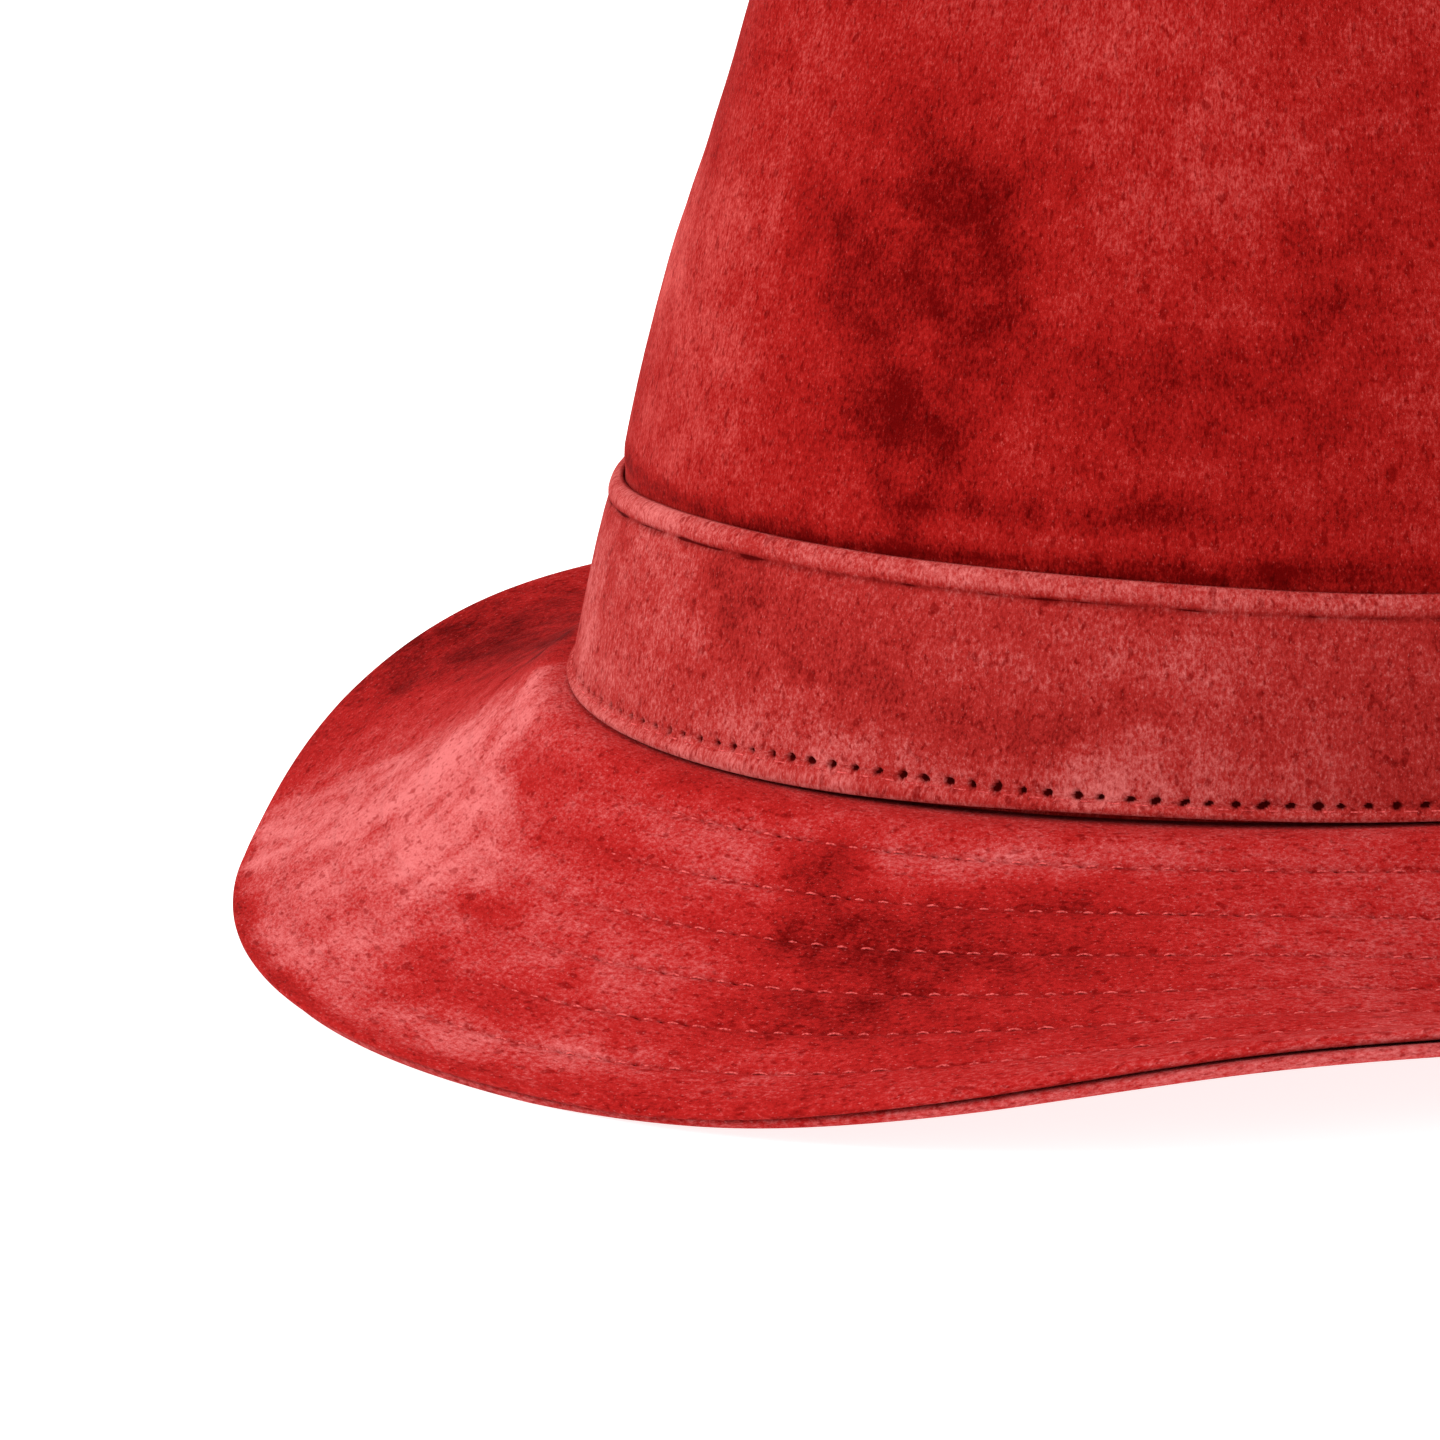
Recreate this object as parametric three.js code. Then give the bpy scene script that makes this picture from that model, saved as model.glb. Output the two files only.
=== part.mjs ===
import * as THREE from "three";

// A suede trilby: a pinched crown, a plain band and a brim of two plies sewn together.
// Millimetres, crown up along +Z, front of the hat along -Y. "turn" is the angle in degrees
// round the hat from its front, and both halves are alike, so tables run from 0 to 180.

// Head opening, for a 57 cm head
const HEAD_HALF_LENGTH = 98.4;
const HEAD_HALF_WIDTH = 82.4;

// Clearance between pieces
const SEAT_GAP = 0.3;

// Crown shell
const CROWN_WALL = 1.8;
const CROWN_TAPER = 0.217;
const PINCH_START = 34;
const PINCH_POWER = 1.5;
const CREST_WALL_SIDE = 13;
const CREST_DENT_SIDE = { inward: 14, drop: 8 };
const DENT_CENTRE = new THREE.Vector3(0, -4, 86);

// Crown folds round the hat. foldHeight is the height of the fold line before it is rounded,
// and pinch is how far the fold is pressed in beyond the plain taper of the wall.
const CROWN_FOLDS = [
  { turn: 0, foldHeight: 112, pinch: 2 },
  { turn: 18, foldHeight: 116, pinch: 9 },
  { turn: 36, foldHeight: 119, pinch: 15.5 },
  { turn: 60, foldHeight: 120, pinch: 11 },
  { turn: 90, foldHeight: 119, pinch: 4 },
  { turn: 120, foldHeight: 116, pinch: 0 },
  { turn: 150, foldHeight: 112, pinch: -2 },
  { turn: 180, foldHeight: 110, pinch: -3 },
];

// Band section, from its foot up to its folded top edge. lift is the height above the foot of
// the crown and thick is the thickness of the band there.
const BAND_SECTION = [
  { lift: 0.0, thick: 2.0 },
  { lift: 2.2, thick: 1.9 },
  { lift: 3.0, thick: 1.4 },
  { lift: 4.2, thick: 1.5 },
  { lift: 14.0, thick: 1.5 },
  { lift: 23.4, thick: 1.4 },
  { lift: 24.6, thick: 1.1 },
  { lift: 25.3, thick: 1.7 },
  { lift: 26.6, thick: 1.8 },
  { lift: 27.4, thick: 1.1 },
];

// The band's top edge sags on one side of the front. turn is the middle of the sag.
const BAND_SAG = { turn: 330, spread: 26, drop: 3.6 };

// Brim plies
const BRIM_WIDTH = 50.5;
const BRIM_SHOULDER = 6;
const PLY_THICKNESS = 1.3;
const EDGE_ROUND = 0.6;
const ROLL_THICKNESS = 1.6;
const ROLL_WIDTH = 3;
const ROLL_FULL = 1;
const SHOULDER_STATIONS = 3;
const BODY_STATIONS = 7;
const WALK_STEP = 0.5;

// Brim sections round the hat. Slopes are in degrees below the level, at the root beside the
// band and at the outer edge, so a negative edge slope is a brim that turns up. underLead is how
// far the under ply's rolled edge stands out beyond the upper ply, which laps over it at the front.
const BRIM_SECTIONS = [
  { turn: 0, rootSlope: 49, edgeSlope: 25, underLead: -1.2 },
  { turn: 30, rootSlope: 42, edgeSlope: 24.5, underLead: -0.9 },
  { turn: 60, rootSlope: 36, edgeSlope: -9.5, underLead: 0.7 },
  { turn: 90, rootSlope: 60, edgeSlope: -41, underLead: 1.0 },
  { turn: 120, rootSlope: 58, edgeSlope: -62, underLead: 1.0 },
  { turn: 150, rootSlope: 54, edgeSlope: -74, underLead: 1.0 },
  { turn: 180, rootSlope: 52, edgeSlope: -78, underLead: 1.0 },
];

// How far the soft brim is pressed flat where it rests
const REST_PRESS = { front: 0.3, back: 0.8 };
const LEAN_PASSES = 5;

// Facets
const TURN_STEPS = 56;
const WALL_RINGS = 8;
const CREST_RINGS = 4;
const DENT_RINGS = 5;

// Suede of the hat
const SUEDE = { color: 0xb32c30, roughness: 0.95, metalness: 0 };

// Sizes that follow from those above
const CROWN_HALF_LENGTH = HEAD_HALF_LENGTH + CROWN_WALL;
const CROWN_HALF_WIDTH = HEAD_HALF_WIDTH + CROWN_WALL;
const BRIM_ROOT = SEAT_GAP + BAND_SECTION[0].thick;
const UNDER_PLY_DEPTH = PLY_THICKNESS + SEAT_GAP;
const BRIM_STACK = UNDER_PLY_DEPTH + PLY_THICKNESS;
const TURNS = Array.from({ length: TURN_STEPS }, (_, step) => (step * 360) / TURN_STEPS);

const { clamp, degToRad, euclideanModulo, lerp, smoothstep } = THREE.MathUtils;

// Smooth curve through one column of a table, by turn.
function columnCurve(rows, column) {
  const turns = rows.map((row) => row.turn);
  const values = rows.map((row) => row[column]);
  const curve = new THREE.CubicInterpolant(turns, values, 1);
  curve.settings = { endingStart: THREE.ZeroSlopeEnding, endingEnd: THREE.ZeroSlopeEnding };
  return (turn) => curve.evaluate(turn > 180 ? 360 - turn : turn)[0];
}

const foldHeight = columnCurve(CROWN_FOLDS, "foldHeight");
const pinch = columnCurve(CROWN_FOLDS, "pinch");
const rootSlope = columnCurve(BRIM_SECTIONS, "rootSlope");
const edgeSlope = columnCurve(BRIM_SECTIONS, "edgeSlope");
const underLead = columnCurve(BRIM_SECTIONS, "underLead");

// Point at a turn, so far out from the oval foot of the crown and so high above it.
function place(turn, out, height) {
  const angle = degToRad(turn);
  const foot = new THREE.Vector2(CROWN_HALF_WIDTH * Math.sin(angle), -CROWN_HALF_LENGTH * Math.cos(angle));
  const outward = new THREE.Vector2(CROWN_HALF_LENGTH * Math.sin(angle), -CROWN_HALF_WIDTH * Math.cos(angle));
  foot.addScaledVector(outward.normalize(), out);
  return new THREE.Vector3(foot.x, foot.y, height);
}

// Closed mesh over rings of points, with each quad split along its shorter diagonal. A poled
// skin ends in a single point at each end, and any other skin joins its last ring to its first.
function skinRings(name, rings, poles = null) {
  const points = rings.flat();
  const faces = [];
  const count = rings[0].length;
  const spans = poles ? rings.length - 1 : rings.length;
  for (let ring = 0; ring < spans; ring += 1) {
    const lower = ring * count;
    const upper = ((ring + 1) % rings.length) * count;
    for (let step = 0; step < count; step += 1) {
      const next = (step + 1) % count;
      const [a, b, c, d] = [lower + step, lower + next, upper + step, upper + next];
      const forward = points[a].distanceTo(points[d]) < points[b].distanceTo(points[c]);
      faces.push(...(forward ? [a, c, d, a, d, b] : [a, c, b, b, c, d]));
    }
  }
  if (poles) {
    const first = points.push(poles.first) - 1;
    const last = points.push(poles.last) - 1;
    const end = (rings.length - 1) * count;
    for (let step = 0; step < count; step += 1) {
      const next = (step + 1) % count;
      faces.push(first, step, next);
      faces.push(last, end + next, end + step);
    }
  }
  const geometry = new THREE.BufferGeometry().setFromPoints(points);
  geometry.setIndex(faces);
  geometry.computeVertexNormals();
  const mesh = new THREE.Mesh(geometry, new THREE.MeshStandardMaterial(SUEDE));
  mesh.name = name;
  return mesh;
}

// Rings of points from a function that gives the outline of one section at a turn.
function ringsFromSections(section) {
  const sections = TURNS.map(section);
  return sections[0].map((_, index) => sections.map((points) => points[index]));
}

// How far the crown wall has moved in from its foot at a height.
function wallInset(turn, height) {
  const climb = clamp((height - PINCH_START) / (foldHeight(turn) - PINCH_START), 0, 1);
  return CROWN_TAPER * height + pinch(turn) * climb ** PINCH_POWER;
}

// Outer line of the crown at a turn, from its foot over the crest down into the top dent.
function crownLine(turn) {
  const top = foldHeight(turn);
  const wallTop = top - CREST_WALL_SIDE;
  const line = [];
  for (let ring = 0; ring < WALL_RINGS; ring += 1) {
    const height = (wallTop * ring) / (WALL_RINGS - 1);
    line.push(place(turn, -wallInset(turn, height), height));
  }

  const fold = place(turn, -wallInset(turn, top), top);
  const toCentre = new THREE.Vector3(DENT_CENTRE.x - fold.x, DENT_CENTRE.y - fold.y, 0);
  const reach = toCentre.length() - CREST_DENT_SIDE.inward;
  toCentre.normalize();
  const dentEdge = fold.clone().addScaledVector(toCentre, CREST_DENT_SIDE.inward);
  dentEdge.z -= CREST_DENT_SIDE.drop;
  const crest = new THREE.QuadraticBezierCurve3(line.at(-1), fold, dentEdge);
  for (let ring = 1; ring <= CREST_RINGS; ring += 1) {
    line.push(crest.getPoint(ring / CREST_RINGS));
  }

  const depth = dentEdge.z - DENT_CENTRE.z;
  const edgeFall = (CREST_DENT_SIDE.drop / CREST_DENT_SIDE.inward) * reach;
  for (let ring = 1; ring <= DENT_RINGS; ring += 1) {
    const left = 1 - ring / (DENT_RINGS + 1);
    const rise = depth * left ** 2 * (3 - 2 * left) + edgeFall * left ** 2 * (left - 1);
    const point = DENT_CENTRE.clone().addScaledVector(toCentre, -reach * left);
    point.z += rise;
    line.push(point);
  }
  return line;
}

// Inner side of a ringed surface, one wall thickness behind it, with a level foot.
function innerRings(outer, pole, wall) {
  const last = outer.length - 1;
  return outer.map((ring, level) => ring.map((point, step) => {
    if (level === 0) {
      return place(TURNS[step], -wall, 0);
    }
    const around = ring[(step + 1) % ring.length].clone().sub(ring.at(step - 1));
    const above = level === last ? pole : outer[level + 1][step];
    const along = above.clone().sub(outer[level - 1][step]);
    return point.clone().addScaledVector(around.cross(along).normalize(), -wall);
  }));
}

function buildCrown() {
  const outer = ringsFromSections(crownLine);
  const inner = innerRings(outer, DENT_CENTRE, CROWN_WALL);
  const innerPole = DENT_CENTRE.clone().setZ(DENT_CENTRE.z - CROWN_WALL);
  const rings = [...outer.reverse(), ...inner];
  return skinRings("crown", rings, { first: DENT_CENTRE, last: innerPole });
}

// Height of a row of the band at a turn, lower where its top edge sags.
function bandHeight(turn, lift) {
  const away = euclideanModulo(turn - BAND_SAG.turn + 180, 360) - 180;
  const sag = BAND_SAG.drop * Math.exp(-((away / BAND_SAG.spread) ** 2));
  return lift * (1 - sag / BAND_SECTION.at(-1).lift);
}

function buildBand() {
  const rings = ringsFromSections((turn) => {
    const outer = BAND_SECTION.map(({ lift, thick }) => {
      const height = bandHeight(turn, lift);
      return place(turn, SEAT_GAP + thick - CROWN_TAPER * height, height);
    });
    const inner = BAND_SECTION.map(({ lift }) => {
      const height = bandHeight(turn, lift);
      return place(turn, SEAT_GAP - CROWN_TAPER * height, height);
    });
    return [...outer.reverse(), ...inner];
  });
  return skinRings("band", rings);
}

// Slope of the brim below the level, so far out from its root.
function brimSlope(turn, reach) {
  const along = clamp((reach - BRIM_SHOULDER) / (BRIM_WIDTH - BRIM_SHOULDER), 0, 1);
  const body = lerp(rootSlope(turn), edgeSlope(turn), along);
  return degToRad(body * smoothstep(reach, 0, BRIM_SHOULDER));
}

// Distances from the brim's root at which both plies have their points, from the head opening
// out to where the rolled edge starts.
function brimStations() {
  const edge = BRIM_WIDTH - ROLL_WIDTH;
  const stations = [-BRIM_ROOT - CROWN_WALL];
  for (let step = 0; step < SHOULDER_STATIONS; step += 1) {
    stations.push((BRIM_SHOULDER * step) / (SHOULDER_STATIONS - 1));
  }
  for (let step = 1; step <= BODY_STATIONS; step += 1) {
    stations.push(lerp(BRIM_SHOULDER, edge, step / BODY_STATIONS));
  }
  return stations;
}

// Points of the brim's upper face at a turn: how far out, how high and how steep.
function walkBrim(turn, stations) {
  let reach = 0;
  let out = BRIM_ROOT;
  let height = -SEAT_GAP;
  return stations.map((station) => {
    if (station <= 0) {
      return { out: BRIM_ROOT + station, height, slope: 0 };
    }
    while (reach < station) {
      const step = Math.min(WALK_STEP, station - reach);
      const slope = brimSlope(turn, reach + step / 2);
      out += step * Math.cos(slope);
      height -= step * Math.sin(slope);
      reach += step;
    }
    return { out, height, slope: brimSlope(turn, station) };
  });
}

// Point of a ply at some depth below the brim's upper face, and so far beyond a station.
function plyPoint(turn, station, depth, beyond = 0) {
  const { sin, cos } = { sin: Math.sin(station.slope), cos: Math.cos(station.slope) };
  const out = station.out + beyond * cos - depth * sin;
  const point = place(turn, out, station.height - beyond * sin - depth * cos);
  point.depth = depth;
  return point;
}

function upperPlySection(turn) {
  const stations = walkBrim(turn, brimStations());
  const edge = stations.at(-1);
  const reach = ROLL_WIDTH - Math.max(underLead(turn), 0);
  const upper = stations.map((station) => plyPoint(turn, station, 0));
  const lower = stations.map((station) => plyPoint(turn, station, PLY_THICKNESS));
  const round = [
    plyPoint(turn, edge, 0, reach - EDGE_ROUND),
    plyPoint(turn, edge, PLY_THICKNESS / 2, reach),
    plyPoint(turn, edge, PLY_THICKNESS, reach - EDGE_ROUND),
  ];
  return [...upper, ...round, ...lower.reverse()];
}

function underPlySection(turn) {
  const stations = walkBrim(turn, brimStations());
  const edge = stations.at(-1);
  const reach = ROLL_WIDTH + Math.min(underLead(turn), 0);
  const rollFoot = UNDER_PLY_DEPTH + ROLL_THICKNESS;
  const upper = stations.map((station) => plyPoint(turn, station, UNDER_PLY_DEPTH));
  const lower = stations.map((station) => plyPoint(turn, station, BRIM_STACK));
  const roll = [
    plyPoint(turn, edge, UNDER_PLY_DEPTH, reach - EDGE_ROUND),
    plyPoint(turn, edge, UNDER_PLY_DEPTH + ROLL_THICKNESS / 2, reach),
    plyPoint(turn, edge, rollFoot, reach - EDGE_ROUND),
    plyPoint(turn, edge, rollFoot, ROLL_FULL),
  ];
  return [...upper, ...roll, ...lower.reverse()];
}

// Lowest point of the leaning brim's underside between two turns.
function lowestUnderside(hat, rings, fromTurn, toTurn) {
  const points = rings.flatMap((ring) => ring.filter((_, step) => TURNS[step] >= fromTurn && TURNS[step] <= toTurn));
  const leaning = points.map((point) => point.clone().applyMatrix4(hat.matrix));
  return leaning.reduce((lowest, point) => (point.z < lowest.z ? point : lowest));
}

// Lean the hat back until its front edge and the roll at its back both press on the ground.
function restOnGround(hat, underRings) {
  for (let pass = 0; pass < LEAN_PASSES; pass += 1) {
    const front = lowestUnderside(hat, underRings, 0, 40);
    const back = lowestUnderside(hat, underRings, 140, 180);
    const rise = back.z + REST_PRESS.back - front.z - REST_PRESS.front;
    hat.rotation.x -= Math.atan2(rise, back.y - front.y);
    hat.updateMatrix();
  }
  hat.position.z = -lowestUnderside(hat, underRings, 140, 180).z - REST_PRESS.back;
  hat.updateMatrix();
}

// Press the plies flat where they would pass below the ground.
function pressFlat(hat, rings) {
  const toHat = hat.matrix.clone().invert();
  for (const point of rings.flat()) {
    const clearance = Math.max(BRIM_STACK - point.depth, 0);
    point.applyMatrix4(hat.matrix);
    point.z = Math.max(point.z, clearance);
    point.applyMatrix4(toHat);
  }
  return rings;
}

function buildHat() {
  const hat = new THREE.Group();
  const upperRings = ringsFromSections(upperPlySection);
  const underRings = ringsFromSections(underPlySection);
  restOnGround(hat, underRings);
  hat.add(buildCrown());
  hat.add(buildBand());
  hat.add(skinRings("brim_upper", pressFlat(hat, upperRings)));
  hat.add(skinRings("brim_under", pressFlat(hat, underRings)));

  const middle = new THREE.Box3().setFromObject(hat).getCenter(new THREE.Vector3());
  hat.position.y -= middle.y;
  hat.updateMatrix();
  return hat;
}

export default buildHat();
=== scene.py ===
"""Dresses a suede trilby: its soft crown, folded band, two-ply stitched brim, nap with painted light and
shade, and threads.

All sizes of the hat are in millimetres, in the hat's own frame: the root plane between crown and
brim is z = 0, the front is -Y and "turn" is the angle round the hat from its front. The finished
points are then leaned back into the resting pose and turned into metres.
"""

import logging
import math
from dataclasses import dataclass
from dataclasses import field
from enum import Enum
from enum import IntEnum
from typing import Sequence

import bpy
import numpy as np
from mathutils import Matrix
from mathutils import Vector
from mathutils import noise

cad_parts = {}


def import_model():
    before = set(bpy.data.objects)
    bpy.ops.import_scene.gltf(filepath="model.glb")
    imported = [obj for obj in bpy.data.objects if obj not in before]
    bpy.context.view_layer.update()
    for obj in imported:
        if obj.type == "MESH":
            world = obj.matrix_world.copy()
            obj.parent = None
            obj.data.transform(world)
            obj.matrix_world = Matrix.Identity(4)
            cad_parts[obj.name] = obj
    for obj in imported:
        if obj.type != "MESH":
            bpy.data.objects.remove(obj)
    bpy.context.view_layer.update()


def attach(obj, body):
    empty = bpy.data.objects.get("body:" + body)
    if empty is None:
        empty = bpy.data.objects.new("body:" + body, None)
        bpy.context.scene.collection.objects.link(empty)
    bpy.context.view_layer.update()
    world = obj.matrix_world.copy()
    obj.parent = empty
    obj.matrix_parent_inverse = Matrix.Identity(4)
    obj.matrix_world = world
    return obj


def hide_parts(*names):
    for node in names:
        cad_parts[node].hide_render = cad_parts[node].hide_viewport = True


LOG = logging.getLogger("trilby")
METRES_PER_MM = 0.001
BODY = "root"
TINY = 1e-9
NOISE_STRIDE = 17.3
FREE_SPREAD = 6.0
INNER_NAP = -0.2

Span = tuple[float, float]
Place = tuple[float, float, float]
Colour = tuple[float, float, float, float]


class Part(Enum):
    """Parts of the hat that carry their own strokes of nap and of painted light and shade."""

    CROWN = "crown"
    BAND = "band"
    BRIM = "brim"


class Slot(Enum):
    """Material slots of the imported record."""

    CROWN = "crown_suede"
    BAND = "band_suede"
    BRIM = "brim_suede"
    THREAD = "thread"


class Seed(IntEnum):
    """Starts of the noise and of the random draws."""

    CROWN_SLACK = 3
    CROWN_RIPPLE = 5
    FOLD_WANDER = 11
    BAND_RIPPLE = 12
    FOLD_LUMPS = 13
    FOLD_CREASE = 14
    BRIM_SLACK = 21
    COARSE_EDGES = 31
    FINE_EDGES = 37
    BAND_HOLES = 41
    STROKES_ASIDE = 50
    BRIM_HOLES = 52
    STROKES_ALONG = 60
    BRIM_STITCHES = 63


@dataclass(frozen=True)
class FoldRow:
    """One row of the crown's fold table.

    Args:
        turn: Degrees round the hat from its front.
        fold_height: Height of the fold line before it is rounded.
        pinch: How far the fold is pressed in beyond the wall's plain taper.
    """

    turn: float
    fold_height: float
    pinch: float


@dataclass(frozen=True)
class BrimRow:
    """One row of the brim's section table.

    Args:
        turn: Degrees round the hat from its front.
        root_slope: Degrees below the level beside the band.
        edge_slope: Degrees below the level at the outer edge.
        under_lead: How far the under ply's rolled edge stands out beyond the upper ply.
    """

    turn: float
    root_slope: float
    edge_slope: float
    under_lead: float


@dataclass(frozen=True)
class BandRow:
    """One row of the band's section table.

    Args:
        lift: Height above the foot of the crown.
        thick: Thickness of the band at that height.
    """

    lift: float
    thick: float


@dataclass(frozen=True)
class BandSag:
    """A place where the band's top edge hangs lower.

    Args:
        turn: Degrees round the hat at its middle.
        spread: Half width in degrees.
        drop: How much lower the top edge is there.
    """

    turn: float
    spread: float
    drop: float


@dataclass(frozen=True)
class NapAndLightStroke:
    """A patch of suede painted lighter or darker, for brushed nap and for painted light and shade.

    Args:
        turn: Degrees round the hat at its middle.
        place: Height on the crown or band, or reach out from the brim's root, at its middle.
        turn_spread: Half width in degrees.
        place_spread: Half width the other way.
        shade: How much lighter, or darker when negative.
    """

    turn: float
    place: float
    turn_spread: float
    place_spread: float
    shade: float

    @property
    def wander(self) -> float:
        """How freely its edges wander, less for a narrow stroke."""
        return min(self.place_spread / FREE_SPREAD, 1.0)


class TurnTable:
    """Smooth curve of one table column round the hat, alike on both sides."""

    def __init__(self, turns: Sequence[float], values: Sequence[float]) -> None:
        """Keeps the samples and works out the slope at each, level at both ends.

        Args:
            turns: Degrees from 0 at the front to 180 at the back.
            values: The column's value at each turn.
        """
        self.turns = np.array(turns, dtype=float)
        self.values = np.array(values, dtype=float)
        secants = np.diff(self.values) / np.diff(self.turns)
        self.slopes = np.zeros(len(self.turns))
        self.slopes[1:-1] = (secants[:-1] + secants[1:]) / 2

    @classmethod
    def column(cls, rows: Sequence[object], name: str) -> "TurnTable":
        """Curve through one named column of a table."""
        return cls([row.turn for row in rows], [getattr(row, name) for row in rows])

    def at(self, turn: np.ndarray) -> np.ndarray:
        """Value of the column at each turn.

        Args:
            turn: Degrees round the hat, of any sign.

        Returns:
            One value for each turn.
        """
        folded = np.abs((np.asarray(turn, dtype=float) + 180) % 360 - 180)
        last = np.clip(np.searchsorted(self.turns, folded), 1, len(self.turns) - 1)
        first = last - 1
        span = self.turns[last] - self.turns[first]
        along = (folded - self.turns[first]) / span
        square, cube = along**2, along**3
        value = (2 * cube - 3 * square + 1) * self.values[first]
        value += (cube - 2 * square + along) * span * self.slopes[first]
        value += (3 * square - 2 * cube) * self.values[last]
        return value + (cube - square) * span * self.slopes[last]


def smooth_step(value: np.ndarray, low: float, high: float) -> np.ndarray:
    """Rises from 0 at low to 1 at high with level ends."""
    along = np.clip((np.asarray(value, dtype=float) - low) / (high - low), 0, 1)
    return along**2 * (3 - 2 * along)


def hump(value: np.ndarray, middle: float, spread: float) -> np.ndarray:
    """Stands at 1 in the middle and dies away beyond the spread on either side."""
    return np.exp(-(((value - middle) / spread) ** 2))


def soft_noise(points: np.ndarray, size: float, seed: int) -> np.ndarray:
    """Smooth noise between about -1 and 1 at each point.

    Args:
        points: Points, in the last axis of the array.
        size: Width of the lumps, in the points' unit.
        seed: Picks another stretch of the noise.

    Returns:
        One value for each point.
    """
    flat = points.reshape(-1, 3) / size + seed * NOISE_STRIDE
    values = np.fromiter((noise.noise(Vector(point)) for point in flat), dtype=float, count=len(flat))
    return values.reshape(points.shape[:-1])


@dataclass(frozen=True)
class HatForm:
    """Driving sizes of the hat and the curves that follow from them."""

    head_half_length: float = 98.4
    head_half_width: float = 82.4
    seat_gap: float = 0.3
    crown_wall: float = 1.8
    crown_taper: float = 0.217
    pinch_start: float = 34.0
    pinch_power: float = 1.5
    crest_wall_side: float = 13.0
    crest_inward: float = 14.0
    crest_drop: float = 8.0
    dent_centre: Place = (0.0, -4.0, 86.0)
    band_foot: float = 2.0
    band_top: float = 27.4
    brim_width: float = 50.5
    brim_shoulder: float = 6.0
    ply: float = 1.3
    edge_round: float = 0.6
    roll_thickness: float = 1.6
    roll_width: float = 3.0
    walk_step: float = 0.25
    fine_steps: int = 7200
    lean_deg: float = 4.0489
    root_centre: Place = (0.0, -0.359, 21.1226)
    sags: tuple[BandSag, ...] = (BandSag(-30, 26, 3.6), BandSag(75, 22, 2.2))
    folds: tuple[FoldRow, ...] = (
        FoldRow(0, 112, 2),
        FoldRow(18, 116, 9),
        FoldRow(36, 119, 15.5),
        FoldRow(60, 120, 11),
        FoldRow(90, 119, 4),
        FoldRow(120, 116, 0),
        FoldRow(150, 112, -2),
        FoldRow(180, 110, -3),
    )
    brim_rows: tuple[BrimRow, ...] = (
        BrimRow(0, 49, 25, -1.2),
        BrimRow(30, 42, 24.5, -0.9),
        BrimRow(60, 36, -9.5, 0.7),
        BrimRow(90, 60, -41, 1.0),
        BrimRow(120, 58, -62, 1.0),
        BrimRow(150, 54, -74, 1.0),
        BrimRow(180, 52, -78, 1.0),
    )

    @property
    def half_length(self) -> float:
        """Half length of the crown's outer foot."""
        return self.head_half_length + self.crown_wall

    @property
    def half_width(self) -> float:
        """Half width of the crown's outer foot."""
        return self.head_half_width + self.crown_wall

    @property
    def degrees_per_mm(self) -> float:
        """Turn of a millimetre round the crown's foot, on average."""
        return 360 / (math.pi * (self.half_length + self.half_width))

    @property
    def brim_root(self) -> float:
        """Distance of the brim's root out from the crown's foot."""
        return self.seat_gap + self.band_foot

    @property
    def under_depth(self) -> float:
        """Depth of the under ply's upper face below the brim's upper face."""
        return self.ply + self.seat_gap

    @property
    def stack(self) -> float:
        """Thickness of both plies together."""
        return self.under_depth + self.ply

    def fold_height(self, turn: np.ndarray) -> np.ndarray:
        """Height of the crown's fold line at each turn."""
        return TurnTable.column(self.folds, "fold_height").at(turn)

    def pinch(self, turn: np.ndarray) -> np.ndarray:
        """Pinch of the crown's fold line at each turn."""
        return TurnTable.column(self.folds, "pinch").at(turn)

    def root_slope(self, turn: np.ndarray) -> np.ndarray:
        """Slope of the brim's root at each turn, in degrees."""
        return TurnTable.column(self.brim_rows, "root_slope").at(turn)

    def edge_slope(self, turn: np.ndarray) -> np.ndarray:
        """Slope of the brim's edge at each turn, in degrees."""
        return TurnTable.column(self.brim_rows, "edge_slope").at(turn)

    def under_lead(self, turn: np.ndarray) -> np.ndarray:
        """How far the under ply stands out beyond the upper ply at each turn."""
        return TurnTable.column(self.brim_rows, "under_lead").at(turn)

    def even_turns(self, count: int) -> np.ndarray:
        """Turns that share out the crown's foot into equal lengths, from the back all the way round.

        Args:
            count: How many turns are wanted.

        Returns:
            Degrees from -180 up to nearly 180.
        """
        fine = np.linspace(-180, 180, self.fine_steps + 1)
        angle = np.radians(fine)
        speed = np.hypot(self.half_width * np.cos(angle), self.half_length * np.sin(angle))
        length = np.concatenate([[0], np.cumsum((speed[1:] + speed[:-1]) / 2)])
        return np.interp(np.arange(count) * length[-1] / count, length, fine)

    def foot_girth(self) -> float:
        """Length round the crown's outer foot."""
        foot = self.place(np.linspace(0, 360, self.fine_steps + 1), 0.0, 0.0)
        return float(np.linalg.norm(np.diff(foot, axis=0), axis=1).sum())

    def outward(self, turn: np.ndarray) -> np.ndarray:
        """Level direction straight out from the crown's foot.

        Args:
            turn: Degrees round the hat.

        Returns:
            Unit directions with x and y in the last axis.
        """
        angle = np.radians(turn)
        level = np.stack([self.half_length * np.sin(angle), -self.half_width * np.cos(angle)], axis=-1)
        return level / np.linalg.norm(level, axis=-1, keepdims=True)

    def place(self, turn: np.ndarray, out: np.ndarray, height: np.ndarray) -> np.ndarray:
        """Points so far out from the crown's foot and so high above it.

        Args:
            turn: Degrees round the hat.
            out: Distance out from the foot, which may be negative.
            height: Height above the root plane.

        Returns:
            Points with x, y and z in the last axis.
        """
        turn, out, height = np.broadcast_arrays(turn, out, height)
        angle = np.radians(turn)
        foot = np.stack([self.half_width * np.sin(angle), -self.half_length * np.cos(angle)], axis=-1)
        level = foot + self.outward(turn) * out[..., None]
        return np.concatenate([level, height[..., None]], axis=-1)

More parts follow.
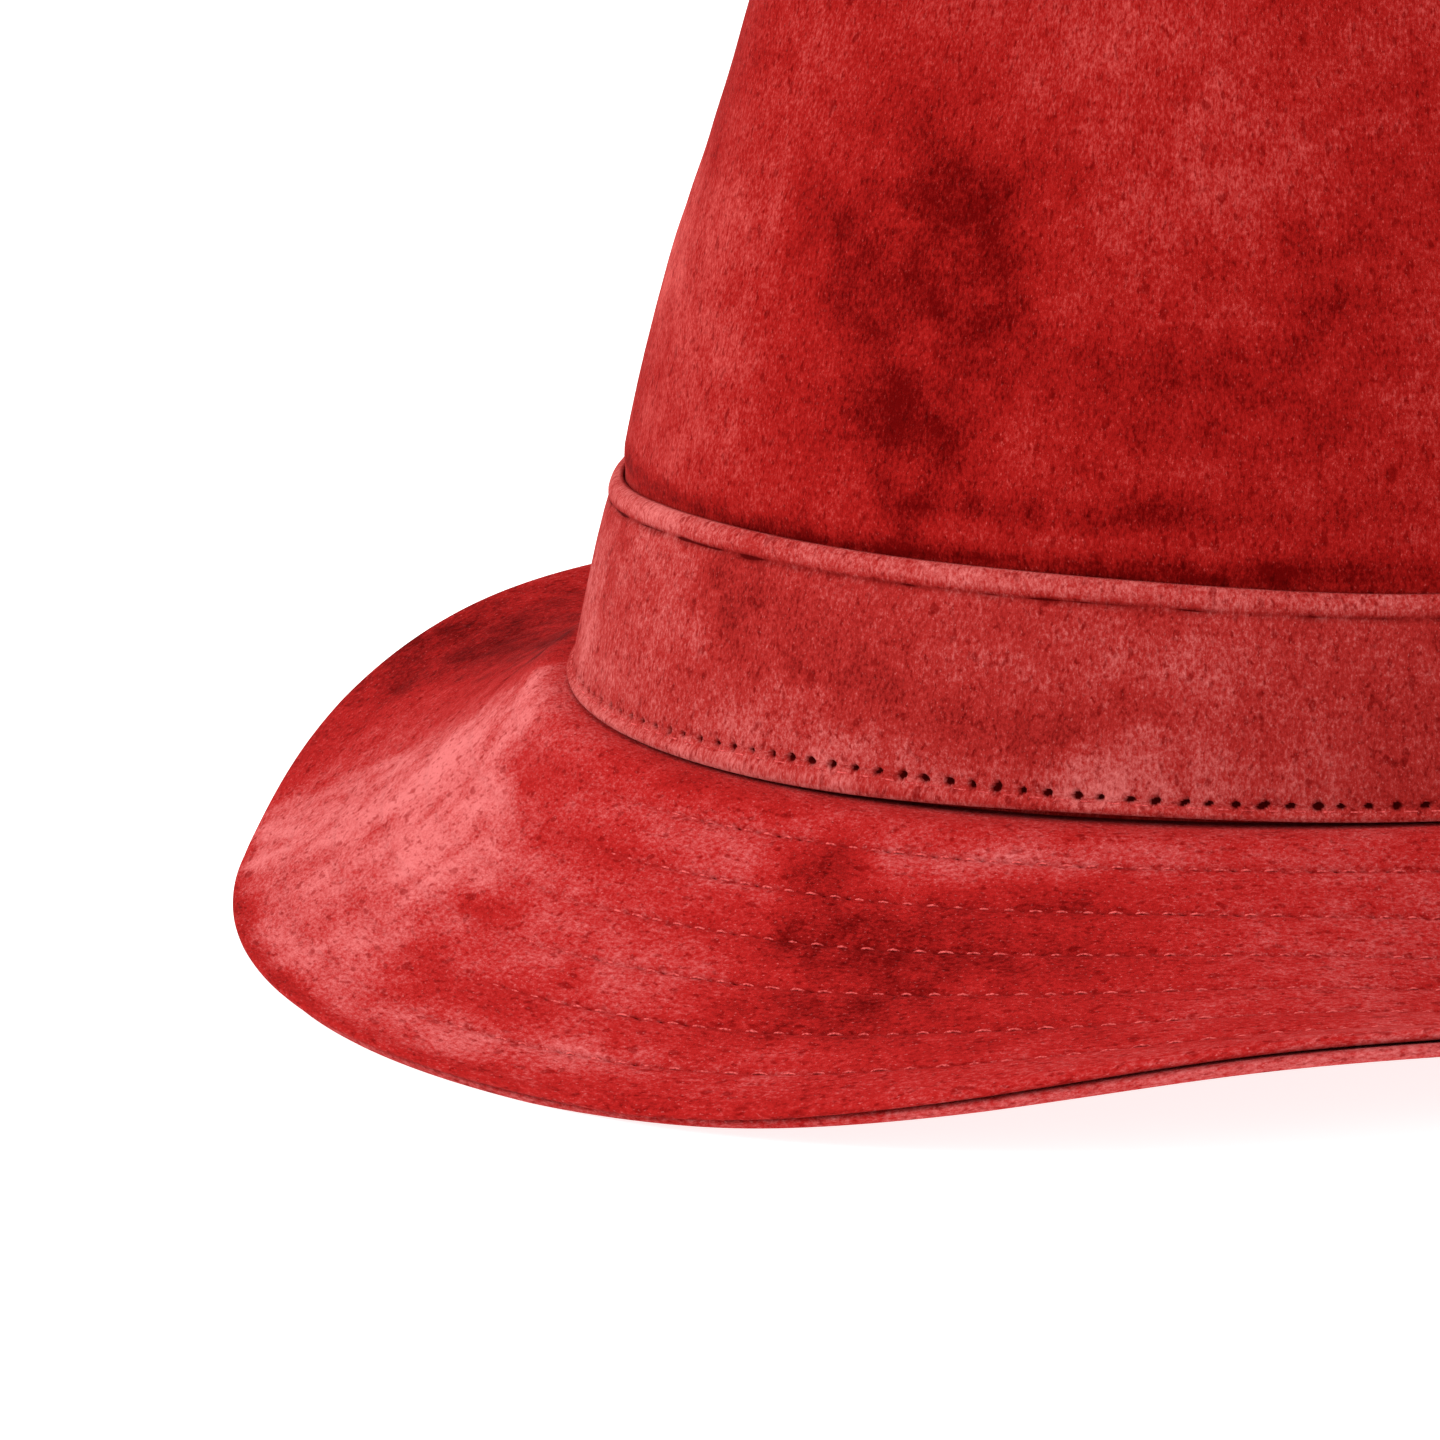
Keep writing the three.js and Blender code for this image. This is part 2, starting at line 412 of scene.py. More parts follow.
    def wall_inset(self, turn: np.ndarray, height: np.ndarray) -> np.ndarray:
        """How far the crown's wall has moved in from its foot."""
        climb = np.clip((height - self.pinch_start) / (self.fold_height(turn) - self.pinch_start), 0, 1)
        return self.crown_taper * height + self.pinch(turn) * climb**self.pinch_power

    def band_height(self, turn: np.ndarray, lift: np.ndarray) -> np.ndarray:
        """Height of a row of the band, lower where its top edge sags.

        Args:
            turn: Degrees round the hat.
            lift: Height of the row on an even band.

        Returns:
            One height for each turn.
        """
        drop = np.zeros(np.shape(turn))
        for sag in self.sags:
            away = (np.asarray(turn) - sag.turn + 180) % 360 - 180
            drop = drop + sag.drop * hump(away, 0.0, sag.spread)
        return lift * (1 - drop / self.band_top)

    def brim_slope(self, turn: np.ndarray, reach: float) -> np.ndarray:
        """Slope of the brim so far out from its root.

        Args:
            turn: Degrees round the hat.
            reach: Distance from the brim's root.

        Returns:
            Radians below the level at each turn.
        """
        along = min(max((reach - self.brim_shoulder) / (self.brim_width - self.brim_shoulder), 0), 1)
        root, edge = self.root_slope(turn), self.edge_slope(turn)
        body = root + (edge - root) * along
        return np.radians(body * float(smooth_step(reach, 0, self.brim_shoulder)))

    def walk_brim(
        self, turn: np.ndarray, stations: Sequence[float]
    ) -> tuple[np.ndarray, np.ndarray, np.ndarray]:
        """Follows the brim's upper face outwards at every turn.

        Args:
            turn: Degrees round the hat.
            stations: Rising distances from the brim's root, negative under the band.

        Returns:
            How far out, how high and how steep the face is, each by station and turn.
        """
        outs, heights, slopes = [], [], []
        out = np.full(len(turn), self.brim_root)
        height = np.full(len(turn), -self.seat_gap)
        reach = 0.0
        for station in stations:
            if station <= 0:
                outs.append(np.full(len(turn), self.brim_root + station))
                heights.append(height.copy())
                slopes.append(np.zeros(len(turn)))
                continue
            while reach < station - TINY:
                step = min(self.walk_step, station - reach)
                slope = self.brim_slope(turn, reach + step / 2)
                out = out + step * np.cos(slope)
                height = height - step * np.sin(slope)
                reach += step
            outs.append(out)
            heights.append(height)
            slopes.append(self.brim_slope(turn, station))
        return np.array(outs), np.array(heights), np.array(slopes)

    def pose(self) -> Matrix:
        """Turns a point of the hat's frame into the resting pose, still in millimetres."""
        return Matrix.Translation(self.root_centre) @ Matrix.Rotation(-math.radians(self.lean_deg), 4, "X")

    def rested(self, points: np.ndarray) -> np.ndarray:
        """Points of the hat's frame in the resting pose, in millimetres."""
        pose = np.array(self.pose())
        return points @ pose[:3, :3].T + pose[:3, 3]


FORM = HatForm()


@dataclass(frozen=True)
class NapAndPaintedLight:
    """Where the nap of this hat is brushed light and dark, and where light and shade are painted into it."""

    cloud_sizes: tuple[float, ...] = (46.0, 21.0, 9.0, 4.0)
    cloud_weights: tuple[float, ...] = (0.26, 0.26, 0.2, 0.18)
    cloud_stride: int = 7
    brim_clouds: float = 0.7
    edge_sizes: Span = (7.0, 3.0)
    edge_weight: float = 0.5
    warp_sizes: Span = (13.0, 5.0)
    warp_reaches: Span = (5.0, 3.0)
    stroke_softness: float = 1.4
    # Partly brushed nap, partly painted light: the dark strokes just above the band are painted shadow under
    # the fold, the dark ones in the pinch are painted shade, and the light ones at the left are painted
    # highlight.
    crown: tuple[NapAndLightStroke, ...] = (
        NapAndLightStroke(31, 68, 7, 4, -0.4),
        NapAndLightStroke(33.5, 57, 3, 9, -0.45),
        NapAndLightStroke(27, 54, 9, 17, -0.6),
        NapAndLightStroke(17, 62, 6, 5, -0.35),
        NapAndLightStroke(25, 53, 4, 4, -0.4),
        NapAndLightStroke(29.5, 40, 4, 5, -0.75),
        NapAndLightStroke(38, 51, 3, 5, -0.25),
        NapAndLightStroke(50, 51, 9, 4, -0.35),
        NapAndLightStroke(48, 34, 15, 1.6, -0.55),
        NapAndLightStroke(52, 27.5, 18, 1.8, -0.6),
        NapAndLightStroke(32, 32, 6, 3, -0.55),
        NapAndLightStroke(54, 43, 9, 5, -0.25),
        NapAndLightStroke(64, 58, 8, 10, -0.4),
        NapAndLightStroke(12, 27.6, 34, 1.1, -0.95),
        NapAndLightStroke(-15, 55, 9, 12, 0.55),
        NapAndLightStroke(-2, 42, 14, 14, 0.25),
        NapAndLightStroke(40, 69, 4, 3.5, -0.3),
        NapAndLightStroke(10, 31, 12, 3, 0.15),
        NapAndLightStroke(37, 31, 6, 1.4, 0.3),
    )
    # Partly brushed nap, partly painted light: the light strokes at the left and along the lower half are
    # painted highlight, and the dark one at the foot is painted shadow.
    band: tuple[NapAndLightStroke, ...] = (
        NapAndLightStroke(-8, 21, 2.5, 5, -0.45),
        NapAndLightStroke(15, 22, 4, 3.5, -0.4),
        NapAndLightStroke(12, 13, 9, 5, -0.3),
        NapAndLightStroke(23, 17, 7, 5, -0.25),
        NapAndLightStroke(43, 10.5, 9, 3, -0.25),
        NapAndLightStroke(32, 12, 6, 3, -0.1),
        NapAndLightStroke(50, 18, 9, 5, 0.15),
        NapAndLightStroke(48, 0.8, 9, 1.4, -0.3),
        NapAndLightStroke(-15, 9, 7, 9, 0.72),
        NapAndLightStroke(26, 6.0, 12, 3.0, 0.45),
        NapAndLightStroke(50, 6.0, 8, 3.0, 0.5),
        NapAndLightStroke(12, 1.0, 16, 1.3, 0.25),
    )
    # Partly brushed nap, partly painted light: the first five dark strokes are painted shade on the far side
    # of the brim, the dark one at the root in front is painted shadow under the band, the light ones at the
    # front left are painted highlight, and the two light ones on the right shoulder are painted highlight
    # along its ridge.
    brim: tuple[NapAndLightStroke, ...] = (
        NapAndLightStroke(-53, 43, 10, 7, -0.8),
        NapAndLightStroke(-54, 30, 6, 7, -0.7),
        NapAndLightStroke(-47, 18, 5, 7, -0.9),
        NapAndLightStroke(-38, 8, 5, 5, -0.9),
        NapAndLightStroke(-33, 3, 5, 3, -1.0),
        NapAndLightStroke(-8, 50, 28, 1.6, -0.45),
        NapAndLightStroke(-6, 33, 2.5, 3, -0.35),
        NapAndLightStroke(9, 39, 7, 4, -0.4),
        NapAndLightStroke(4, 27.5, 3.5, 2, -0.65),
        NapAndLightStroke(-2, 10.5, 5, 4, -0.6),
        NapAndLightStroke(8, 15, 8, 2, -0.3),
        NapAndLightStroke(36, 34, 8, 3.5, -0.5),
        NapAndLightStroke(38, 25, 9, 5, -0.75),
        NapAndLightStroke(37, 18, 8, 4, -0.6),
        NapAndLightStroke(30, 11, 2.5, 4, -0.75),
        NapAndLightStroke(47, 13, 5, 3, -0.4),
        NapAndLightStroke(50, 40, 10, 4, -0.2),
        NapAndLightStroke(17, 2.5, 10, 3, -0.4),
        NapAndLightStroke(-21, 16, 4, 12, 0.75),
        NapAndLightStroke(-26, 32, 6, 12, 0.45),
        NapAndLightStroke(-29, 46, 6, 4, 0.4),
        NapAndLightStroke(-10, 14, 6, 7, 0.6),
        NapAndLightStroke(-8, 46, 6, 2.5, 0.35),
        NapAndLightStroke(16, 44, 10, 3, 0.4),
        NapAndLightStroke(43, 9.5, 6, 2, 0.35),
        NapAndLightStroke(50, 7, 8, 1.6, 0.3),
        NapAndLightStroke(27, 13, 2.5, 4, 0.25),
        NapAndLightStroke(-15, 4, 6, 4, 0.6),
        NapAndLightStroke(-6, 27, 13, 17, 0.7),
        NapAndLightStroke(-30, 38, 12, 13, 0.3),
        NapAndLightStroke(19, 30, 7, 6, 0.2),
    )

    def strokes(self, part: Part) -> tuple[NapAndLightStroke, ...]:
        """Strokes that lie on a part."""
        return {Part.CROWN: self.crown, Part.BAND: self.band, Part.BRIM: self.brim}[part]

    def shade(self, part: Part, turn: np.ndarray, place: np.ndarray, points: np.ndarray) -> np.ndarray:
        """Light and dark of the nap, with the painted light and shade, at each point of a part.

        Args:
            part: The part that the points lie on.
            turn: Degrees round the hat at each point.
            place: Height, or reach on the brim, at each point.
            points: The points that the noise is taken at.

        Returns:
            Values from about -1, dark, to 1, light.
        """
        seed = list(Part).index(part)
        strength = self.brim_clouds if part is Part.BRIM else 1.0
        total = np.zeros(points.shape[:-1])
        for number, (size, weight) in enumerate(zip(self.cloud_sizes, self.cloud_weights)):
            total += strength * weight * soft_noise(points, size, seed * self.cloud_stride + number)
        ragged = np.ones_like(total)
        for size, start in zip(self.edge_sizes, (Seed.COARSE_EDGES, Seed.FINE_EDGES)):
            ragged += self.edge_weight * soft_noise(points, size, seed + start)
        aside, astray = np.zeros_like(total), np.zeros_like(total)
        for number, (size, reach) in enumerate(zip(self.warp_sizes, self.warp_reaches)):
            aside += reach * soft_noise(points, size, seed + Seed.STROKES_ASIDE + number)
            astray += reach * soft_noise(points, size, seed + Seed.STROKES_ALONG + number)
        for stroke in self.strokes(part):
            across = (turn + aside * FORM.degrees_per_mm - stroke.turn) / stroke.turn_spread
            along = (place + astray * stroke.wander - stroke.place) / stroke.place_spread
            total += stroke.shade * ragged * np.exp(-(across**2 + along**2) / self.stroke_softness)
        return total


NAP_AND_LIGHT = NapAndPaintedLight()


@dataclass(frozen=True)
class FibreNoise:
    """Noise for one kind of fibre or mottle.

    Args:
        count: How many there are in a metre, or to each of the finest fibres.
        detail: Levels of finer noise in it.
        roughness: Strength of those levels.
        shows: Noise values between which it comes to stand out.
    """

    count: float
    detail: float
    roughness: float
    shows: Span = (0.0, 1.0)


class MixSocket(IntEnum):
    """Numbers of the sockets that carry the colours of a Mix node."""

    FIRST = 6
    SECOND = 7
    RESULT = 2


class NodeSketch:
    """Short way to write down the nodes of one tree."""

    def __init__(self, tree: bpy.types.NodeTree) -> None:
        """Starts on a tree that has no nodes yet."""
        self.tree = tree

    def node(
        self, kind: str, inputs: dict[str | int, object] | None = None, **settings: object
    ) -> bpy.types.Node:
        """Adds a node.

        Args:
            kind: The node's type, such as ShaderNodeMath.
            inputs: Its sockets by name or number, each with a value or with a socket to link from.
            settings: Properties of the node.

        Returns:
            The new node.
        """
        made = self.tree.nodes.new(kind)
        for name, value in settings.items():
            setattr(made, name, value)
        for socket, source in (inputs or {}).items():
            self.feed(made.inputs[socket], source)
        return made

    def feed(self, target: bpy.types.NodeSocket, source: object) -> None:
        """Links a socket to a target, or sets the target's own value.

        Args:
            target: The socket that is fed.
            source: Another socket, or a plain value.
        """
        if isinstance(source, bpy.types.NodeSocket):
            self.tree.links.new(source, target)
        else:
            target.default_value = source

    def math(self, operation: str, first: object, second: object) -> bpy.types.NodeSocket:
        """Adds a Math node and returns its value."""
        return self.node("ShaderNodeMath", {0: first, 1: second}, operation=operation).outputs[0]

    def noise(self, vector: object, scale: object, kind: FibreNoise) -> bpy.types.NodeSocket:
        """Adds a Noise Texture and returns its value."""
        inputs = {"Vector": vector, "Scale": scale, "Detail": kind.detail, "Roughness": kind.roughness}
        return self.node("ShaderNodeTexNoise", inputs).outputs["Fac"]

    def ramp(self, value: object, low: float, high: float) -> bpy.types.NodeSocket:
        """Adds a smooth rise from 0 at low to 1 at high and returns its value."""
        inputs = {"Value": value, "From Min": low, "From Max": high}
        return self.node("ShaderNodeMapRange", inputs, interpolation_type="SMOOTHSTEP").outputs["Result"]

    def mix(
        self, factor: object, first: object, second: object, blend: str = "MIX"
    ) -> bpy.types.NodeSocket:
        """Mixes two colours and returns the result."""
        inputs = {"Factor": factor, MixSocket.FIRST: first, MixSocket.SECOND: second}
        mixed = self.node("ShaderNodeMix", inputs, data_type="RGBA", blend_type=blend)
        return mixed.outputs[MixSocket.RESULT]

    def surface(self, inputs: dict[str, object]) -> None:
        """Adds the surface and the output of a material, with these inputs of the Principled BSDF."""
        shader = self.node("ShaderNodeBsdfPrincipled", inputs)
        self.node("ShaderNodeOutputMaterial", {"Surface": shader.outputs["BSDF"]})


class GroupSketch(NodeSketch):
    """A shader node group with named sockets."""

    def __init__(self, name: str, inputs: dict[str, str], outputs: dict[str, str]) -> None:
        """Makes the group and its sockets.

        Args:
            name: The group's name.
            inputs: Socket names to Blender socket types.
            outputs: Socket names to Blender socket types.
        """
        super().__init__(bpy.data.node_groups.new(name, "ShaderNodeTree"))
        for label, kind in inputs.items():
            self.tree.interface.new_socket(label, in_out="INPUT", socket_type=kind)
        for label, kind in outputs.items():
            self.tree.interface.new_socket(label, in_out="OUTPUT", socket_type=kind)
        self.given = self.node("NodeGroupInput").outputs
        self.result = self.node("NodeGroupOutput").inputs


FLOAT = "NodeSocketFloat"
COLOUR = "NodeSocketColor"
VECTOR = "NodeSocketVector"


def blank_material(name: str) -> tuple[bpy.types.Material, NodeSketch]:
    """A new material that has no nodes yet.

    Args:
        name: Name of the material.

    Returns:
        The material, and the sketch of its nodes.
    """
    made = bpy.data.materials.new(name)
    made.use_nodes = True
    made.node_tree.nodes.clear()
    return made, NodeSketch(made.node_tree)


def put_in_scene(name: str, data: bpy.types.ID) -> bpy.types.Object:
    """A new object of the scene.

    Args:
        name: Name of the object.
        data: Its mesh, light or camera.

    Returns:
        The object.
    """
    made = bpy.data.objects.new(name, data)
    bpy.context.scene.collection.objects.link(made)
    return made


@dataclass
class SuedeGroups:
    """Shader node groups that every suede finish of the hat shares.

    Args:
        fine: Finest fibres.
        clumps: Clumps of fibres.
        sparks: Light fibre ends.
        pores: Small dark pores.
        flecks: Larger dark flecks.
        fine_share: Part of the finest fibres in the grain and in the height.
        clump_share: Part of the clumps in the grain.
        clump_height: Part of the clumps in the height.
        even_grain: Value of the grain that leaves the nap as it is.
        darkens: How far below even nap the deep colour starts and is full.
        lightens: How far above even nap the pale colour starts and is full.
        stain: Colour that pores and flecks are multiplied by.
        stain_share: How much of that stain they take.
        spark_shade: Shades of the nap between which the light fibre ends come to show.
        spark_share: How much of the pale colour they take.
        seam_black: Part of black in the deep colour of the painted shade.
        seam_edge: Values of the painted shade between which its dark core starts and is full.
        grain: The group that puts out the fibres.
        tint: The group that puts out the colour.
    """

    fine: FibreNoise = FibreNoise(1.0, 3.0, 0.8)
    clumps: FibreNoise = FibreNoise(0.2, 4.0, 0.7)
    sparks: FibreNoise = FibreNoise(1.7, 1.0, 0.5, (0.64, 0.76))
    pores: FibreNoise = FibreNoise(0.6, 2.0, 0.6, (0.57, 0.69))
    flecks: FibreNoise = FibreNoise(0.33, 1.0, 0.5, (0.62, 0.72))
    fine_share: float = 0.7
    clump_share: float = 0.3
    clump_height: float = 0.5
    even_grain: float = 0.5
    darkens: Span = (-0.1, 1.25)
    lightens: Span = (-0.15, 1.25)
    stain: Colour = (0.55, 0.2, 0.2, 1.0)
    stain_share: float = 0.75
    spark_shade: Span = (-1.6, 0.4)
    spark_share: float = 0.55
    seam_black: float = 0.3
    seam_edge: Span = (0.4, 0.65)
    grain: bpy.types.NodeTree = field(init=False)
    tint: bpy.types.NodeTree = field(init=False)

    def __post_init__(self) -> None:
        """Builds each group once."""
        self.grain = self.build_grain()
        self.tint = self.build_tint()

    def build_grain(self) -> bpy.types.NodeTree:
        """Fine fibres of the nap.

        Returns:
            A group that puts out the grain, light and dark fibre specks and a height.
        """
        group = GroupSketch(
            "suede fibre grain",
            {"Vector": VECTOR, "Fibres per Metre": FLOAT},
            {"Grain": FLOAT, "Light Fibres": FLOAT, "Dark Fibres": FLOAT, "Height": FLOAT},
        )
        place, count = group.given["Vector"], group.given["Fibres per Metre"]
        kinds = (self.fine, self.clumps, self.sparks, self.pores, self.flecks)
        scales = [group.math("MULTIPLY", count, kind.count) for kind in kinds]
        fine, clumps, sparks, pores, flecks = (
            group.noise(place, scale, kind) for scale, kind in zip(scales, kinds)
        )
        body = group.math("MULTIPLY", fine, self.fine_share)
        grain = group.math("ADD", body, group.math("MULTIPLY", clumps, self.clump_share))
        height = group.math("ADD", body, group.math("MULTIPLY", clumps, self.clump_height))
        dark = group.math(
            "MAXIMUM", group.ramp(pores, *self.pores.shows), group.ramp(flecks, *self.flecks.shows)
        )
        group.feed(group.result["Grain"], grain)
        group.feed(group.result["Light Fibres"], group.ramp(sparks, *self.sparks.shows))
        group.feed(group.result["Dark Fibres"], dark)
        group.feed(group.result["Height"], height)
        return group.tree

    def build_tint(self) -> bpy.types.NodeTree:
        """Colour of brushed suede.

        Returns:
            A group that puts out the colour for a shade of the nap and its painted light, for its fibres and
            for the painted shade of seams, holes, grooves and creases.
        """
        colours = dict.fromkeys(("Deep", "Middle", "Pale"), COLOUR)
        values = dict.fromkeys(("Nap", "Grain", "Contrast", "Light Fibres", "Dark Fibres", "Seam"), FLOAT)
        group = GroupSketch("suede tint", {**colours, **values}, {"Color": COLOUR})
        given = group.given
        grain = group.math("SUBTRACT", given["Grain"], self.even_grain)
        shade = group.math("ADD", given["Nap"], group.math("MULTIPLY", grain, given["Contrast"]))
        darker = group.ramp(group.math("MULTIPLY", shade, -1.0), *self.darkens)
        lighter = group.ramp(shade, *self.lightens)
        colour = group.mix(darker, given["Middle"], given["Deep"])
        colour = group.mix(lighter, colour, given["Pale"])
        stained = group.math("MULTIPLY", given["Dark Fibres"], self.stain_share)
        colour = group.mix(stained, colour, self.stain, "MULTIPLY")
        bright = group.math("MULTIPLY", given["Light Fibres"], group.ramp(shade, *self.spark_shade))
        colour = group.mix(group.math("MULTIPLY", bright, self.spark_share), colour, given["Pale"])
        # Painted shade of seams, needle holes, grooves and creases, towards a near-black deep colour.
        deepest = group.mix(self.seam_black, given["Deep"], (0.0, 0.0, 0.0, 1.0))
        seam = group.math("MAXIMUM", given["Seam"], group.ramp(given["Seam"], *self.seam_edge))
        group.feed(group.result["Color"], group.mix(seam, colour, deepest))
        return group.tree


@dataclass(frozen=True)
class SuedeFinish:
    """A red suede finish.

    Args:
        name: Name of the material.
        deep: Colour where the nap is brushed dark.
        middle: Colour of even nap.
        pale: Colour where the nap is brushed light.
        fibres: Fibres in a metre.
        stretch: Count of fibres round the hat and along its section, as shares of that.
        contrast: How strongly the fibres lighten and darken the nap.
        relief: Height of the fibres, in metres.
        bump: Strength of that relief.
        roughness: Roughness of the surface.
        specular: Strength of its reflection.
        sheen: Strength of the soft light along its outlines.
        sheen_roughness: How far that light spreads.
        sheen_tint: Colour of that light.
    """

    name: str
    deep: Colour
    middle: Colour
    pale: Colour
    fibres: float = 2100.0
    stretch: Span = (1.0, 0.6)
    contrast: float = 4.2
    relief: float = 0.00035
    bump: float = 0.9
    roughness: float = 0.95
    specular: float = 0.02
    sheen: float = 0.03
    sheen_roughness: float = 0.3
    sheen_tint: Colour = (1.0, 0.5, 0.5, 1.0)

    def material(self, groups: SuedeGroups) -> bpy.types.Material:
        """Builds the material.

        Args:
            groups: The shared suede node groups.

        Returns:
            A material that reads from the mesh the nap with its painted light, and the painted shade.
        """
        made, sketch = blank_material(self.name)
        cut = sketch.node("ShaderNodeUVMap", uv_map="cut")
        laid = {"Vector": cut.outputs["UV"], "Scale": (*self.stretch, 1.0)}
        along = sketch.node("ShaderNodeMapping", laid).outputs["Vector"]
        counted = {"Vector": along, "Fibres per Metre": self.fibres}
        grain = sketch.node("ShaderNodeGroup", counted, node_tree=groups.grain)
        nap = sketch.node("ShaderNodeAttribute", attribute_name="nap")
        # Painted shade of seams, needle holes, grooves and creases, kept on the mesh.
        seam = sketch.node("ShaderNodeAttribute", attribute_name="seam")
        look = {
            "Deep": self.deep,
            "Middle": self.middle,
            "Pale": self.pale,
            "Contrast": self.contrast,
            "Nap": nap.outputs["Fac"],
            "Seam": seam.outputs["Fac"],
        }
        for label in ("Grain", "Light Fibres", "Dark Fibres"):
            look[label] = grain.outputs[label]
        tint = sketch.node("ShaderNodeGroup", look, node_tree=groups.tint)
        raised = {"Distance": self.relief, "Strength": self.bump, "Height": grain.outputs["Height"]}
        bump = sketch.node("ShaderNodeBump", raised)
        sketch.surface(
            {
                "Base Color": tint.outputs["Color"],
                "Roughness": self.roughness,
                "Specular IOR Level": self.specular,
                "Sheen Weight": self.sheen,
                "Sheen Roughness": self.sheen_roughness,
                "Sheen Tint": self.sheen_tint,
                "Normal": bump.outputs["Normal"],
            }
        )
        return made


@dataclass(frozen=True)
class ThreadFinish:
    """Sewing thread, a little paler than the suede.

    Args:
        name: Name of the material.
        low: Darker colour of the twist.
        high: Lighter colour of the twist.
        twist: Noise of the twist.
        roughness: Roughness of the surface.
        specular: Strength of its reflection.
    """

    name: str = "red thread"
    low: Colour = (0.34, 0.015, 0.014, 1.0)
    high: Colour = (0.64, 0.09, 0.085, 1.0)
    twist: FibreNoise = FibreNoise(2600.0, 2.0, 0.6, (0.35, 0.65))
    roughness: float = 0.7
    specular: float = 0.15

    def material(self) -> bpy.types.Material:
        """Builds the material.

        Returns:
            A material that needs nothing from its mesh.
        """
        made, sketch = blank_material(self.name)
        place = sketch.node("ShaderNodeTexCoord").outputs["Object"]
        fibre = sketch.noise(place, self.twist.count, self.twist)
        colour = sketch.mix(sketch.ramp(fibre, *self.twist.shows), self.low, self.high)
        sketch.surface(
            {"Base Color": colour, "Roughness": self.roughness, "Specular IOR Level": self.specular}
        )
        return made


@dataclass
class RingSkin:
    """A mesh skinned over rings of points that run round the hat.

    Args:
        name: Name of the piece.
        rings: Points by ring and column, in the resting pose in millimetres.
        lengths: Length along the section at each ring, for the fibres.
        girth: Length round the hat, for the fibres.
        first_pole: Point that closes the first ring, or None to join last ring and first.
        last_pole: Point that closes the last ring.
        values: Named values by ring and column that the material reads.
        level: Rings whose fibres are laid out as seen from above, near the poles.
    """

    name: str
    rings: np.ndarray
    lengths: np.ndarray
    girth: float
    first_pole: np.ndarray | None = None
    last_pole: np.ndarray | None = None
    values: dict[str, np.ndarray] = field(default_factory=dict)
    level: Sequence[int] = ()

    def build(self, material: bpy.types.Material, slot: Slot) -> bpy.types.Object:
        """Makes the object, smooth and with its fibres laid out.

        Args:
            material: The finish of the piece.
            slot: Not used.

        Returns:
            The object, riding on the hat.
        """
        count, columns = self.rings.shape[:2]
        poled = self.first_pole is not None
        spans = count - 1 if poled else count
        column = np.arange(columns)
        following = (column + 1) % columns
        left, right = column * self.girth / columns, (column + 1) * self.girth / columns
        across = np.stack([left, left, right, right], axis=1)
        points = self.rings.reshape(-1, 3)
        quads, corners = [], []
        for ring in range(spans):
            here, above = ring * columns, (ring + 1) % count * columns
            edges = [here + column, above + column, above + following, here + following]
            quads.append(np.stack(edges, axis=1))
            if ring in self.level:
                corners.append(points[quads[-1]][..., :2])
                continue
            low, high = self.lengths[ring], self.lengths[ring + 1]
            along = np.tile([low, high, high, low], (columns, 1))
            corners.append(np.stack([across, along], axis=2))
        faces = np.concatenate(quads).tolist()
        cut = np.concatenate(corners).reshape(-1, 2)
        values = {label: value.reshape(-1) for label, value in self.values.items()}
        if poled:
            points = np.concatenate([points, [self.first_pole, self.last_pole]])
            first, end = np.full(columns, count * columns), (count - 1) * columns
            fans = np.stack([first, column, following], axis=1)
            fans = np.concatenate([fans, np.stack([first + 1, end + following, end + column], axis=1)])
            faces += fans.tolist()
            cut = np.concatenate([cut, points[fans][..., :2].reshape(-1, 2)])
            for label, value in values.items():
                ends = [self.values[label][0].mean(), self.values[label][-1].mean()]
                values[label] = np.concatenate([value, ends])
        return finish_piece(self.name, points, faces, cut, values, material)


def finish_piece(
    name: str,
    points: np.ndarray,
    faces: list[list[int]],
    cut: np.ndarray | None,
    values: dict[str, np.ndarray],
    material: bpy.types.Material,
) -> bpy.types.Object:
    """Makes one object of the hat from plain arrays.

    Args:
        name: Name of the piece.
        points: Points in the resting pose, in millimetres.
        faces: Corner numbers of each face.
        cut: Place of each face corner on the cut leather in millimetres, or None.
        values: Named values for each point.
        material: The finish of the piece.

    Returns:
        The object, linked to the scene and riding on the hat.
    """
    mesh = bpy.data.meshes.new(name)
    mesh.from_pydata((points * METRES_PER_MM).tolist(), [], faces)
    mesh.polygons.foreach_set("use_smooth", np.ones(len(mesh.polygons), dtype=bool))
    if cut is not None:
        layer = mesh.uv_layers.new(name="cut")
        layer.uv.foreach_set("vector", (cut * METRES_PER_MM).astype(np.float32).reshape(-1))
    for label, value in values.items():
        attribute = mesh.attributes.new(label, "FLOAT", "POINT")
        attribute.data.foreach_set("value", value.astype(np.float32))
    mesh.update()
    mesh.materials.append(material)
    made = put_in_scene(name, mesh)
    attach(made, BODY)
    LOG.info("%s: %d points, %d faces", name, len(points), len(faces))
    return made


def ring_normals(rings: np.ndarray) -> np.ndarray:
    """Directions out of a ringed surface whose rings climb from its outer foot.

    Args:
        rings: Points by ring and column.

    Returns:
        Unit directions of the same shape.
    """
    around = np.roll(rings, -1, axis=1) - np.roll(rings, 1, axis=1)
    along = np.gradient(rings, axis=0)
    normals = np.cross(around, along)
    return normals / np.maximum(np.linalg.norm(normals, axis=-1, keepdims=True), TINY)


def section_lengths(rings: np.ndarray, closed: bool) -> np.ndarray:
    """Length along the middle column at each ring.

    Args:
        rings: Points by ring and column.
        closed: True to add the step from the last ring back to the first.

    Returns:
        One length for each ring, and one more when closed.
    """
    line = rings[:, rings.shape[1] // 2]
    if closed:
        line = np.concatenate([line, line[:1]])
    return np.concatenate([[0], np.cumsum(np.linalg.norm(np.diff(line, axis=0), axis=1))])


def kept_rings(count: int, every: int) -> np.ndarray:
    """Numbers of the rings that a hidden face keeps, always with the last."""
    return np.unique(np.append(np.arange(0, count, every), count - 1))


